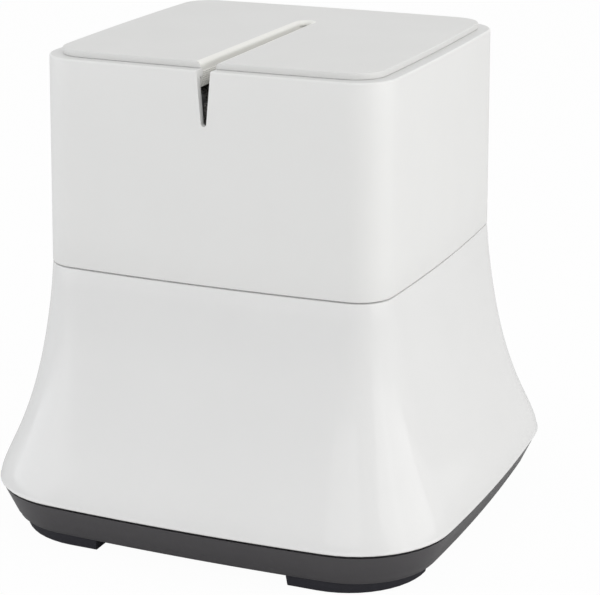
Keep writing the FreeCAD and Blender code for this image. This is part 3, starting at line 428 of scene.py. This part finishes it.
plans = {
    "rim": {"width": 0.1200, "depth": 0.1164, "corner": 0.0135, "bow": 0.00115},
    "seam": {"width": 0.1222, "depth": 0.1185, "corner": 0.0119, "bow": 0.00235},
    "base": {"width": 0.1635, "depth": 0.1591, "corner": 0.0333, "bow": 0.0042},
    "tray": {"width": 0.1515, "depth": 0.1471, "corner": 0.0280, "bow": 0.0032},
    "foot": {"width": 0.1432, "depth": 0.1427, "corner": 0.0275, "bow": 0.0004},
    "plate": {"width": 0.1120, "depth": 0.1087, "corner": 0.0104, "bow": 0.00115},
}
heights = {"trayBottom": 0.0041, "lowerBottom": 0.0161, "seam": 0.0919, "rim": 0.1611, "plate": 0.16325}
wall = 0.0025
slotX = 0.0005

slotSizes = {
    "frontHalf": 0.00275,
    "backHalf": 0.0022,
    "back": 0.026,
    "front": -0.05435,
    "linerFront": -0.05295,
    "linerWall": 0.0016,
    "linerBottom": 0.15505,
    "noseFront": -0.0554,
    "noseTop": 0.1583,
    "topRadius": 0.0014,
    "radiusSteps": 6,
    "endSteps": 14,
    "deckClearance": 0.0004,
    "edge": 0.0002,
    "ribCount": 8,
    "ribTop": 0.1602,
    "ribDepth": 0.00019,
    "ribSink": 0.00004,
    "ribSides": 8,
    "ribSetback": 0.0003,
}


def slotOutline(extra, front, back):
    # the knife slot in plan: a slight taper to the back and a round end
    backHalf = slotSizes["backHalf"] + extra
    frontHalf = slotSizes["frontHalf"] + extra
    points = [(slotX - frontHalf, front), (slotX + frontHalf, front)]
    shoulder = back - backHalf
    for step in range(slotSizes["endSteps"] + 1):
        turn = math.pi * step / slotSizes["endSteps"]
        points.append((slotX + backHalf * math.cos(turn), shoulder + backHalf * math.sin(turn)))
    return points


notchSizes = {
    "topHalf": 0.0024,
    "bottomHalf": 0.00095,
    "bottom": 0.1436,
    "start": -0.07,
    "steps": 8,
    "edge": 0.0005,
}


def notchOutline():
    # the V in the front wall, with a round bottom
    low = notchSizes["bottomHalf"]
    arcHeight = notchSizes["bottom"] + low
    top = heights["plate"] + 2 * overrun
    slope = (notchSizes["topHalf"] - low) / (heights["rim"] - arcHeight)
    spread = low + slope * (top - arcHeight)
    points = [(slotX - spread, top)]
    for step in range(notchSizes["steps"] + 1):
        turn = math.pi + math.pi * step / notchSizes["steps"]
        points.append((slotX + low * math.cos(turn), arcHeight + low * math.sin(turn)))
    points.append((slotX + spread, top))
    return points


upperSizes = {
    "rimRadius": 0.0006,
    "seamGap": 0.0005,
    "seamDepth": 0.0014,
    "seamRadius": 0.0003,
    "seamSteps": 3,
    "rimSteps": 6,
    "deck": 0.0025,
    "shadedLedgeBand": 0.00005,
    "wallRows": 6,
    "switchHeight": 0.118,
    "switchSeat": 0.0577,
    "seatHalfWidth": 0.00805,
    "seatHalfHeight": 0.01135,
    "holeHalfWidth": 0.00655,
    "holeHalfHeight": 0.00985,
    "switchReach": 0.01,
}


def upperCasing():
    size = upperSizes
    seam, rim = plans["seam"], plans["rim"]
    bottom, top = heights["seam"], heights["rim"]
    deckLow = top - size["deck"]
    lipHeight = bottom + size["seamGap"]
    rows = [ring(rim, deckLow, wall), ring(seam, bottom, wall)]
    rows += [ring(seam, bottom, size["seamDepth"]), ring(seam, lipHeight, size["seamDepth"])]
    rows += softAt(size["seamRadius"], size["seamSteps"], seam, lipHeight, False)[::-1]
    for step in range(1, size["wallRows"]):
        share = step / size["wallRows"]
        rows.append(ring(between(seam, rim, share), bottom + (top - bottom) * share))
    rows += softAt(size["rimRadius"], size["rimSteps"], rim, top)
    mesh = meshFromRings("upperShell", rows)
    deckExtra = slotSizes["linerWall"] + slotSizes["deckClearance"]
    deckSlot = slotOutline(deckExtra, slotSizes["front"] + overrun, slotSizes["back"] + 2 * overrun)
    seat, height, reach = size["switchSeat"], size["switchHeight"], size["switchReach"]
    cutters = [
        prismMesh("notch", notchOutline(), notchSizes["start"], slotSizes["front"] + 2 * overrun, "Y"),
        prismMesh("deckSlot", deckSlot, deckLow - 2 * overrun, top + 2 * overrun, "Z"),
        boxMesh("seat", (-size["seatHalfWidth"], seat, height - size["seatHalfHeight"]),
                (size["seatHalfWidth"], seat + reach, height + size["seatHalfHeight"])),
        boxMesh("hole", (-size["holeHalfWidth"], seat - reach, height - size["holeHalfHeight"]),
                (size["holeHalfWidth"], seat + reach, height + size["holeHalfHeight"])),
    ]
    piece = finished("upper_shell", mesh, cutters, materials["upper"], notchSizes["edge"])
    # faces on top of the deck ledge take the darker colour: painted shade under the edge of the plate
    piece.data.materials.append(materials["deck"])
    for face in piece.data.polygons:
        if face.center.z > top - size["shadedLedgeBand"]:
            face.material_index = 1
    return dress(piece, "housing", "white_satin", "upper_casing")


plateSizes = {
    "gap": 0.00012,
    "gapDepth": 0.00025,
    "lift": 0.00002,
    "underEdge": 0.00015,
    "underSteps": 2,
    "edge": 0.0003,
    "edgeSteps": 3,
    "slotBand": 0.00001,
}


def flaredSlot(low):
    # the slot as a cutter, its sides opening into a round upper edge
    front, back, radius = slotSizes["front"] - 3 * overrun, slotSizes["back"], slotSizes["topRadius"]
    levels = [(low, 0.0)]
    for step in range(slotSizes["radiusSteps"] + 1):
        turn = math.pi / 2 * step / slotSizes["radiusSteps"]
        drop, extra = radius * (1 - math.sin(turn)), radius * (1 - math.cos(turn))
        levels.append((heights["plate"] - drop, extra))
    levels.append((heights["plate"] + 2 * overrun, radius))
    rings = []
    for height, extra in levels:
        rings.append([Vector((x, y, height)) for x, y in slotOutline(extra, front, back + extra)])
    return meshFromRings("slotCut", rings)


def topPlate():
    size = plateSizes
    plan = plans["plate"]
    under = heights["rim"] + size["gap"]
    rows = [ring(plan, height, size["gapDepth"]) for height in (heights["rim"] + size["lift"], under)]
    rows += softAt(size["underEdge"], size["underSteps"], plan, under, False)[::-1]
    rows += softAt(size["edge"], size["edgeSteps"], plan, heights["plate"])
    mesh = meshFromRings("plateSlab", rows)
    slotCut = flaredSlot(under - 4 * overrun)
    slab = finished("top_plate_slab", mesh, [slotCut], materials["plate"], slotSizes["edge"])
    slab.data.materials.append(materials["liner"])
    # the walls of the slot take the liner colour: partly the liner's own cream, partly painted light on walls the
    # lamps barely reach
    for face in slab.data.polygons:
        besideSlot = slotSizes["frontHalf"] + slotSizes["topRadius"] > abs(face.center.x - slotX)
        behindFront = face.center.y > -plan["depth"] / 2 + overrun
        insideEnd = face.center.y < slotSizes["back"] + slotSizes["topRadius"]
        belowFace = face.center.z < heights["plate"] - size["slotBand"]
        if besideSlot and behindFront and insideEnd and belowFace:
            face.material_index = 1
    return slab


def linerMesh(front, low, high):
    # walls of the slot between two heights, open to the front, with a round back
    inner = slotOutline(0, front, slotSizes["back"])
    outer = slotOutline(slotSizes["linerWall"], front, slotSizes["back"] + slotSizes["linerWall"])
    path = inner[1:] + inner[:1]
    around = outer[1:] + outer[:1]
    shape = bmesh.new()
    loops = []
    for pairs, height in ((path, low), (path, high), (around, high), (around, low)):
        loops.append([shape.verts.new((x, y, height)) for x, y in pairs])
    for first, second in zip(loops, loops[1:] + loops[:1]):
        for index in range(len(first) - 1):
            shape.faces.new((first[index], first[index + 1], second[index + 1], second[index]))
    shape.faces.new([loop[0] for loop in loops])
    shape.faces.new([loop[-1] for loop in reversed(loops)])
    bmesh.ops.recalc_face_normals(shape, faces=shape.faces)
    mesh = bpy.data.meshes.new("liner")
    shape.to_mesh(mesh)
    shape.free()
    return mesh


def slotLiner():
    high = heights["plate"] - slotSizes["topRadius"]
    low, nose = slotSizes["linerBottom"], slotSizes["noseTop"]
    upper = linerMesh(slotSizes["linerFront"], nose, high)
    lower = linerMesh(slotSizes["noseFront"], low, nose)
    walls = joinMeshes("linerWalls", [upper, lower])
    return finished("slot_liner", walls, [], materials["liner"], slotSizes["edge"])


def treeWith(name, inputs):
    # an empty node tree with named inputs and one geometry output
    tree = bpy.data.node_groups.new(name, "GeometryNodeTree")
    tree.interface.new_socket("Geometry", in_out="INPUT", socket_type="NodeSocketGeometry")
    tree.interface.new_socket("Geometry", in_out="OUTPUT", socket_type="NodeSocketGeometry")
    for label, (kind, value) in inputs.items():
        socket = tree.interface.new_socket(label, in_out="INPUT", socket_type="NodeSocket" + kind)
        socket.default_value = value
    return tree, tree.nodes.new("NodeGroupInput"), tree.nodes.new("NodeGroupOutput")


def addNode(tree, kind, settings, values, output=0):
    made = tree.nodes.new(kind)
    for key, value in settings.items():
        setattr(made, key, value)
    for key, value in values.items():
        if isinstance(value, bpy.types.NodeSocket):
            tree.links.new(value, made.inputs[key])
        else:
            made.inputs[key].default_value = value
    return made.outputs[output]


def endTree(tree, outlet, geometry, material):
    real = addNode(tree, "GeometryNodeRealizeInstances", {}, {"Geometry": geometry})
    coloured = addNode(tree, "GeometryNodeSetMaterial", {}, {"Geometry": real, "Material": material})
    tree.links.new(coloured, outlet.inputs[0])


def grown(name, tree, source, values, material):
    # runs a tree on an object, keeps the result as a plain mesh
    maker = addObject(name + "Maker", source)
    modifier = maker.modifiers.new("grow", "NODES")
    modifier.node_group = tree
    for item in tree.interface.items_tree:
        if item.in_out == "INPUT" and item.name in values:
            modifier[item.identifier] = values[item.name]
    bpy.context.view_layer.update()
    depsgraph = bpy.context.evaluated_depsgraph_get()
    mesh = bpy.data.meshes.new_from_object(maker.evaluated_get(depsgraph))
    maker.modifiers.clear()
    bpy.data.objects.remove(maker)
    mesh.name = name
    mesh.materials.clear()
    mesh.materials.append(material)
    for face in mesh.polygons:
        face.material_index = 0
    return addObject(name, mesh)


def polyline(name, points, cyclic=False):
    curve = bpy.data.curves.new(name, "CURVE")
    curve.dimensions = "3D"
    spline = curve.splines.new("POLY")
    spline.points.add(len(points) - 1)
    for target, point in zip(spline.points, points):
        target.co = (*point, 1)
    spline.use_cyclic_u = cyclic
    return curve


def slotRibs():
    # fine level ribs along the liner walls, repeated up the wall
    size = slotSizes
    pitch = (size["ribTop"] - size["linerBottom"]) / (size["ribCount"] + 0.5)
    values = {"Count": size["ribCount"], "Pitch": pitch, "Rib Depth": size["ribDepth"]}
    tree, inlet, outlet = treeWith("levelRibs", {
        "Count": ("Int", values["Count"]),
        "Pitch": ("Float", values["Pitch"]),
        "Rib Depth": ("Float", values["Rib Depth"]),
    })
    profile = addNode(tree, "GeometryNodeCurvePrimitiveCircle", {}, {
        "Resolution": size["ribSides"], "Radius": inlet.outputs["Rib Depth"]})
    rib = addNode(tree, "GeometryNodeCurveToMesh", {}, {
        "Curve": inlet.outputs["Geometry"], "Profile Curve": profile, "Fill Caps": True})
    step = addNode(tree, "ShaderNodeCombineXYZ", {}, {"Z": inlet.outputs["Pitch"]})
    line = addNode(tree, "GeometryNodeMeshLine", {}, {"Count": inlet.outputs["Count"], "Offset": step})
    placed = addNode(tree, "GeometryNodeInstanceOnPoints", {}, {"Points": line, "Instance": rib})
    endTree(tree, outlet, placed, materials["liner"])
    outline = slotOutline(-size["ribSink"], size["linerFront"] + size["ribSetback"], size["back"])
    start = size["linerBottom"] + pitch * 0.75
    path = polyline("ribPath", [(x, y, start) for x, y in outline[1:] + outline[:1]])
    piece = grown("slot_ribs", tree, path, values, materials["liner"])
    for face in piece.data.polygons:
        face.use_smooth = True
    return piece


def plateGroup():
    slab, liner, ribs = topPlate(), slotLiner(), slotRibs()
    for piece in (slab, liner, ribs):
        dress(piece, "housing", "plate_satin")
    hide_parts("top_plate")


flareSizes = {
    "rows": 44,
    "startDrop": 0.747,
    "startSlope": 0.44,
    "endDrop": 0.828,
    "endSlope": 0.602,
    "cornerPower": 0.79,
    "topRadius": 0.0003,
    "bottomRadius": 0.0006,
    "recessHalf": 0.022,
    "recessPlane": 0.067,
    "recessBottom": 0.022,
    "recessCorner": 0.003,
    "glandHeight": 0.034,
    "glandHole": 0.0046,
    "recessReach": 0.1,
    "recessTopDrop": 0.006,
    "glandReach": 0.01,
    "innerEvery": 4,
    "topSteps": 3,
    "bottomSteps": 4,
    "edge": 0.0004,
    "edgeAngle": 40,
}


def cubic(share, first, second):
    rest = 1 - share
    return 3 * share * rest ** 2 * first + 3 * share ** 2 * rest * second + share ** 3


def flareRow(share):
    # plan and height at a share of the way down the flare
    size = flareSizes
    drop = cubic(share, size["startDrop"], size["endDrop"])
    late = 1 - size["endSlope"] * (1 - size["endDrop"])
    spread = cubic(share, size["startDrop"] * size["startSlope"], late)
    rounding = spread ** size["cornerPower"]
    seam, base = plans["seam"], plans["base"]
    plan = {
        "width": seam["width"] + (base["width"] - seam["width"]) * spread,
        "depth": seam["depth"] + (base["depth"] - seam["depth"]) * spread,
        "corner": seam["corner"] + (base["corner"] - seam["corner"]) * rounding,
        "bow": seam["bow"] + (base["bow"] - seam["bow"]) * rounding,
    }
    return plan, heights["seam"] - (heights["seam"] - heights["lowerBottom"]) * drop


def recessCutter(grow):
    # the rear pocket as a cutter, its two inner corners rounded
    size = flareSizes
    half = size["recessHalf"] + grow
    plane = size["recessPlane"] - grow
    corner = size["recessCorner"] + grow
    points = [(half, size["recessReach"]), (-half, size["recessReach"])]
    for middleX, startTurn in ((-half + corner, math.pi), (half - corner, 1.5 * math.pi)):
        for step in range(arcSteps + 1):
            turn = startTurn + math.pi / 2 * step / arcSteps
            points.append((middleX + corner * math.cos(turn), plane + corner + corner * math.sin(turn)))
    top = heights["seam"] - size["recessTopDrop"]
    return prismMesh("recess", points, size["recessBottom"] - grow, top, "Z")


def flaredShell():
    size = flareSizes
    seam, base = plans["seam"], plans["base"]
    high, low = heights["seam"], heights["lowerBottom"]
    outer, inner = [], []
    for row in range(1, size["rows"]):
        plan, height = flareRow(row / size["rows"])
        outer.append(ring(plan, height))
        if row % size["innerEvery"] == 0:
            inner.append(ring(plan, height, wall))
    top = softAt(size["topRadius"], size["topSteps"], seam, high)[::-1]
    bottom = softAt(size["bottomRadius"], size["bottomSteps"], base, low, False)
    solid = meshFromRings("flareOuter", top + outer[1:] + bottom)
    inside = [ring(base, low - 4 * overrun, wall), ring(base, low, wall)] + inner[::-1]
    inside += [ring(seam, high, wall), ring(seam, high + 4 * overrun, wall)]
    core = meshFromRings("flareCore", inside)
    carve = finished("flareCoreCut", core, [recessCutter(wall)], materials["lower"], 0)
    hollow = carve.data.copy()
    bpy.data.objects.remove(carve)
    hole = discMesh("glandHole", size["glandHole"], -size["glandReach"], size["glandReach"], 0, 0)
    middle = Matrix.Translation((0, size["recessPlane"], size["glandHeight"]))
    hole.transform(middle @ Matrix.Rotation(math.pi / 2, 4, "X"))
    cutters = [recessCutter(0), hollow, hole]
    piece = finished("flared_shell", solid, cutters, materials["lower"], size["edge"], size["edgeAngle"])
    return dress(piece, "housing", "white_gloss", "lower_casing")


traySizes = {
    "step": 0.0004,
    "gap": 0.0009,
    "gapDepth": 0.0030,
    "edge": 0.0006,
    "edgeSteps": 3,
    "cutEdge": 0.0003,
    "floor": 0.0025,
    "ventCount": 9,
    "ventPitch": 0.005,
    "ventWidth": 0.0024,
    "ventLength": 0.040,
    "screwX": 0.050,
    "screwY": 0.047,
    "counterbore": 0.0032,
    "rows": 6,
}


def trayPiece():
    size = traySizes
    base = plans["base"]
    rim = {
        "width": base["width"] - 2 * size["step"],
        "depth": base["depth"] - 2 * size["step"],
        "corner": base["corner"] - size["step"],
        "bow": base["bow"],
    }
    low, high = heights["trayBottom"], heights["lowerBottom"]
    rows = softAt(size["edge"], size["edgeSteps"], plans["tray"], low, False)[::-1]
    sideTop = high - size["gap"]
    for step in range(1, size["rows"] + 1):
        share = step / size["rows"] * (sideTop - low) / (high - low)
        rows.append(ring(between(plans["tray"], rim, share), low + (high - low) * share))
    rows.append(ring(rim, sideTop, size["gapDepth"]))
    rows.append(ring(rim, high, size["gapDepth"]))
    rows.append(ring(rim, high, wall))
    rows.append(ring(plans["tray"], low + size["floor"], wall))
    mesh = meshFromRings("trayPan", rows)
    cutters = []
    for sideX in (-1, 1):
        for sideY in (-1, 1):
            x, y = sideX * size["screwX"], sideY * size["screwY"]
            top = low + size["floor"] + overrun
            cutters.append(discMesh("counterbore", size["counterbore"], low - overrun, top, x, y))
    first = -(size["ventCount"] - 1) / 2 * size["ventPitch"]
    for index in range(size["ventCount"]):
        cutters.append(ventCutter(first + index * size["ventPitch"], low))
    piece = finished("tray_pan", mesh, cutters, materials["tray"], size["cutEdge"])
    return dress(piece, "housing", "dark_tray", "base_tray")


def ventCutter(x, low):
    half = traySizes["ventWidth"] / 2
    straight = traySizes["ventLength"] / 2 - half
    points = []
    for middle, start in ((straight, 0), (-straight, math.pi)):
        for step in range(arcSteps + 1):
            turn = start + math.pi * step / arcSteps
            points.append((x + half * math.cos(turn), middle + half * math.sin(turn)))
    return prismMesh("vent", points, low - overrun, low + traySizes["floor"] + overrun, "Z")


footSizes = {
    "band": 0.010,
    "frontGap": 0.0342,
    "sideGap": 0.044,
    "draft": 0.0005,
    "edge": 0.0007,
    "edgeSteps": 4,
    "cutEdge": 0.00035,
    "slope": 0.0003,
    "reach": 0.2,
}


def gapCutter(name, sign, gap, low, high):
    # one sloped block from beyond the outside to the end of the pad, seen along Y
    reach, slope = footSizes["reach"], footSizes["slope"]
    corners = [(-sign * reach, low - overrun), (sign * (gap + slope), low - overrun),
               (sign * (gap - slope), high + overrun), (-sign * reach, high + overrun)]
    return prismMesh(name, corners, -reach, reach, "Y")


def footPiece(name, signX, signY):
    # a rubber pad that wraps one corner of the tray
    size = footSizes
    low, high = 0.0, heights["trayBottom"]
    rows = softAt(size["edge"], size["edgeSteps"], plans["foot"], low, False)[::-1]
    rows.append(ring(plans["foot"], high, -size["draft"]))
    rows.append(ring(plans["foot"], high, size["band"]))
    rows.append(ring(plans["foot"], low, size["band"]))
    mesh = meshFromRings("footRing", rows, closed=True)
    frontCut = gapCutter("frontGap", signX, size["frontGap"], low, high)
    sideCut = gapCutter("sideGap", signY, size["sideGap"], low, high)
    sideCut.transform(Matrix.Rotation(math.pi / 2, 4, "Z"))
    piece = finished(name + "_pad", mesh, [frontCut, sideCut], materials["foot"], size["cutEdge"])
    return dress(piece, "housing", "foot_rubber", name)


discSizes = {
    "count": 5,
    "thickness": 0.003,
    "pitch": 0.0068,
    "chamfer": 0.00025,
    "bore": 0.00302,
    "sides": 96,
}


def wheelDiscs(body, node):
    # a stack of chamfered discs on one shaft, grown from one turned profile
    low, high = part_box(node)
    size = discSizes
    radius, bore = (high.z - low.z) / 2, size["bore"]
    centreX, centreZ = (low.x + high.x) / 2, (low.z + high.z) / 2
    values = {"Count": size["count"], "Pitch": size["pitch"], "Radius": (radius + bore) / 2}
    tree, inlet, outlet = treeWith("discStack", {
        "Count": ("Int", values["Count"]),
        "Pitch": ("Float", values["Pitch"]),
        "Radius": ("Float", values["Radius"]),
    })
    circle = addNode(tree, "GeometryNodeCurvePrimitiveCircle", {}, {
        "Resolution": size["sides"], "Radius": inlet.outputs["Radius"]})
    turned = addNode(tree, "GeometryNodeCurveToMesh", {}, {
        "Curve": circle, "Profile Curve": inlet.outputs["Geometry"]})
    step = addNode(tree, "ShaderNodeCombineXYZ", {}, {"Z": inlet.outputs["Pitch"]})
    line = addNode(tree, "GeometryNodeMeshLine", {}, {"Count": inlet.outputs["Count"], "Offset": step})
    placed = addNode(tree, "GeometryNodeInstanceOnPoints", {}, {"Points": line, "Instance": turned})
    endTree(tree, outlet, placed, materials["abrasive"])
    half, cut = (radius - bore) / 2, size["chamfer"]
    thick = size["thickness"]
    corners = [(-half, 0), (half - cut, 0), (half, cut)]
    corners += [(half, thick - cut), (half - cut, thick), (-half, thick)]
    profile = polyline("discProfile", [(x, y, 0) for x, y in corners], True)
    piece = grown(node + "_stack", tree, profile, values, materials["abrasive"])
    turn = Matrix.Rotation(-math.pi / 2, 4, "X")
    piece.data.transform(Matrix.Translation((centreX, low.y, centreZ)) @ turn)
    shape = bmesh.new()
    shape.from_mesh(piece.data)
    bmesh.ops.recalc_face_normals(shape, faces=shape.faces)
    shape.to_mesh(piece.data)
    shape.free()
    return dress(piece, body, "abrasive", node)


softSizes = {
    "switch_body": {"edge": 0.0003, "material": "black", "slot": "black_plastic", "body": "housing"},
    "switch_rocker": {"edge": 0.0003, "material": "black", "slot": "black_plastic", "body": "rocker"},
    "cord_gland": {"edge": 0.0004, "material": "foot", "slot": "foot_rubber", "body": "housing"},
    "front_bearing_plate": {"edge": 0.0003, "material": "guide", "slot": "grey_guide", "body": "housing"},
}
flatAngle = 1.0
softAngle = 40


def softened(node):
    # a CAD node's own shape with its crisp edges rounded
    size = softSizes[node]
    shape = bmesh.new()
    shape.from_mesh(nodes[node].data)
    bmesh.ops.remove_doubles(shape, verts=shape.verts, dist=1e-6)
    flat = math.radians(flatAngle)
    bmesh.ops.dissolve_limit(shape, angle_limit=flat, verts=shape.verts, edges=shape.edges)
    mesh = bpy.data.meshes.new(node)
    shape.to_mesh(mesh)
    shape.free()
    piece = finished(node + "_body", mesh, [], materials[size["material"]], size["edge"], softAngle, 2)
    return dress(piece, size["body"], size["slot"], node)


nodeFinish = {
    "guide": ["front_bearing_plate"],
    "zinc": ["chassis_plate", "rear_bearing_plate", "motor_can"],
    "bronze": ["wheel_bushes", "motor_bushes", "commutator", "motor_terminals", "switch_terminals", "motor_pinion"],
    "nylon": ["left_pair_gear", "right_pair_gear", "driven_gear", "idler_gear"],
    "aluminium": ["left_spacers", "right_spacers"],
    "ferrite": ["motor_magnets"],
    "lamination": ["rotor_core"],
    "black": ["motor_end_cap", "terminal_block", "bridge_rectifier", "cord_clamp", "switch_body", "switch_rocker"],
    "foot": ["cord_gland"],
    "sleeve": ["filter_capacitor"],
    "board": ["power_board"],
}


def finishNodes():
    # every node not listed above is steel
    finishOf = {name: finish for finish, names in nodeFinish.items() for name in names}
    for name, node in nodes.items():
        node.data.materials.clear()
        node.data.materials.append(materials[finishOf.get(name, "steel")])


finishNodes()
upperCasing()
print("stage: upper shell")
plateGroup()
print("stage: top plate")
flaredShell()
print("stage: flared shell")
trayPiece()
for footName, signX, signY in (("foot_front_left", -1, -1), ("foot_front_right", 1, -1),
                               ("foot_rear_left", -1, 1), ("foot_rear_right", 1, 1)):
    footPiece(footName, signX, signY)
print("stage: tray and feet")
wheelDiscs("left_wheels", "left_discs")
wheelDiscs("right_wheels", "right_discs")
print("stage: discs")
for softNode in softSizes:
    softened(softNode)
print("stage: small parts")


# Floor, lights and camera

floorSizes = {
    "half": 4,
    "bottom": -0.02,
    "top": -0.0001,
    "colour": (0.80, 0.80, 0.80),
    "rough": 0.9,
    "glow": 0.97,
}


def floorMaterial():
    # pale floor that looks white to the camera but still takes a shadow
    shade = Shade("paleFloor")
    shade.set(Base_Color=floorSizes["colour"])
    shade.surface.inputs["Roughness"].default_value = floorSizes["rough"]
    shade.surface.inputs["Specular IOR Level"].default_value = 0.0
    tree = shade.tree
    path = shade.node("ShaderNodeLightPath", {}, {}, "Is Camera Ray")
    glow = shade.node("ShaderNodeEmission", {}, {"Color": (1.0, 1.0, 1.0), "Strength": 1.0}, "Emission")
    lit = Wire(shade, shade.surface.outputs[0])
    blend = shade.node("ShaderNodeMixShader", {}, {0: path * floorSizes["glow"], 1: lit, 2: glow})
    tree.links.new(blend.socket, tree.nodes["Material Output"].inputs[0])
    return shade.material


lightSizes = {
    "ambient": 0.66,
    "aim": (0, 0, 0.08),
    "lamps": {
        "keyRight": {
            "place": (1.05, -0.05, 0.55), "size": (1.4, 1.4), "power": 6.1, "tint": (1.0, 0.995, 0.98)},
        "streakRight": {
            "place": (1.0, -0.28, 0.4), "size": (0.12, 1.2), "power": 0.2, "tint": (1.0, 1.0, 0.99)},
        "fillLeft": {
            "place": (-1.0, -0.5, 0.4), "size": (1.2, 1.2), "power": 3.7, "tint": (0.96, 0.98, 1.0)},
        "front": {
            "place": (0.25, -1.3, 0.55), "size": (0.9, 0.7), "power": 1.3, "tint": (1.0, 1.0, 1.0)},
    },
}


def whiteWorld():
    world = bpy.data.worlds.new("studio")
    scene.world = world
    world.use_nodes = True
    tree = world.node_tree
    ground = tree.nodes["Background"]
    ground.inputs[0].default_value = (1, 1, 1, 1)
    path = tree.nodes.new("ShaderNodeLightPath")
    seen = tree.nodes.new("ShaderNodeMath")
    seen.operation = "MAXIMUM"
    tree.links.new(path.outputs["Is Camera Ray"], seen.inputs[0])
    tree.links.new(path.outputs["Is Glossy Ray"], seen.inputs[1])
    clear = tree.nodes.new("ShaderNodeMath")
    clear.operation = "MAXIMUM"
    tree.links.new(seen.outputs[0], clear.inputs[0])
    tree.links.new(path.outputs["Is Transmission Ray"], clear.inputs[1])
    level = tree.nodes.new("ShaderNodeMapRange")
    level.inputs["To Min"].default_value = lightSizes["ambient"]
    level.inputs["To Max"].default_value = 1.0
    tree.links.new(clear.outputs[0], level.inputs["Value"])
    tree.links.new(level.outputs[0], ground.inputs[1])


def studioLights():
    for name, lamp in lightSizes["lamps"].items():
        light = bpy.data.lights.new(name, "AREA")
        light.shape = "RECTANGLE"
        light.size, light.size_y = lamp["size"]
        light.energy = lamp["power"]
        light.color = lamp["tint"]
        made = bpy.data.objects.new(name, light)
        scene.collection.objects.link(made)
        made.location = lamp["place"]
        toward = Vector(lightSizes["aim"]) - Vector(lamp["place"])
        made.rotation_euler = toward.to_track_quat("-Z", "Y").to_euler()


cameraSizes = {
    "azimuth": 23.42,
    "elevation": 17.12,
    "roll": -0.04,
    "target": (0.0, 0.0, 0.075),
    "distance": 0.71891,
    "focalPixels": 2090.11,
    "centreX": 276.83,
    "centreY": 287.59,
    "frameWidth": 600,
    "frameHeight": 595,
    "sensor": 36.0,
    "clipNear": 0.05,
    "clipFar": 20,
}


def photoCamera():
    size = cameraSizes
    data = bpy.data.cameras.new("photoCamera")
    data.sensor_width = size["sensor"]
    data.lens = size["focalPixels"] * size["sensor"] / size["frameWidth"]
    data.shift_x = (size["frameWidth"] / 2 - size["centreX"]) / size["frameWidth"]
    data.shift_y = (size["centreY"] - size["frameHeight"] / 2) / size["frameWidth"]
    data.clip_start, data.clip_end = size["clipNear"], size["clipFar"]
    camera = bpy.data.objects.new("photoCamera", data)
    scene.collection.objects.link(camera)
    azimuth, elevation = math.radians(size["azimuth"]), math.radians(size["elevation"])
    level = math.cos(elevation)
    back = Vector((math.sin(azimuth) * level, -math.cos(azimuth) * level, math.sin(elevation)))
    camera.location = Vector(size["target"]) + back * size["distance"]
    facing = (-back).to_track_quat("-Z", "Y").to_matrix().to_4x4()
    camera.rotation_euler = (facing @ Matrix.Rotation(math.radians(size["roll"]), 4, "Z")).to_euler()
    scene.camera = camera


half = floorSizes["half"]
floorMesh = boxMesh("floor", (-half, -half, floorSizes["bottom"]), (half, half, floorSizes["top"]))
floor = addObject("floor", floorMesh)
floor.data.materials.append(floorMaterial())
whiteWorld()
studioLights()
photoCamera()
scene.view_settings.view_transform = "Standard"
print("stage: floor, lights, camera")
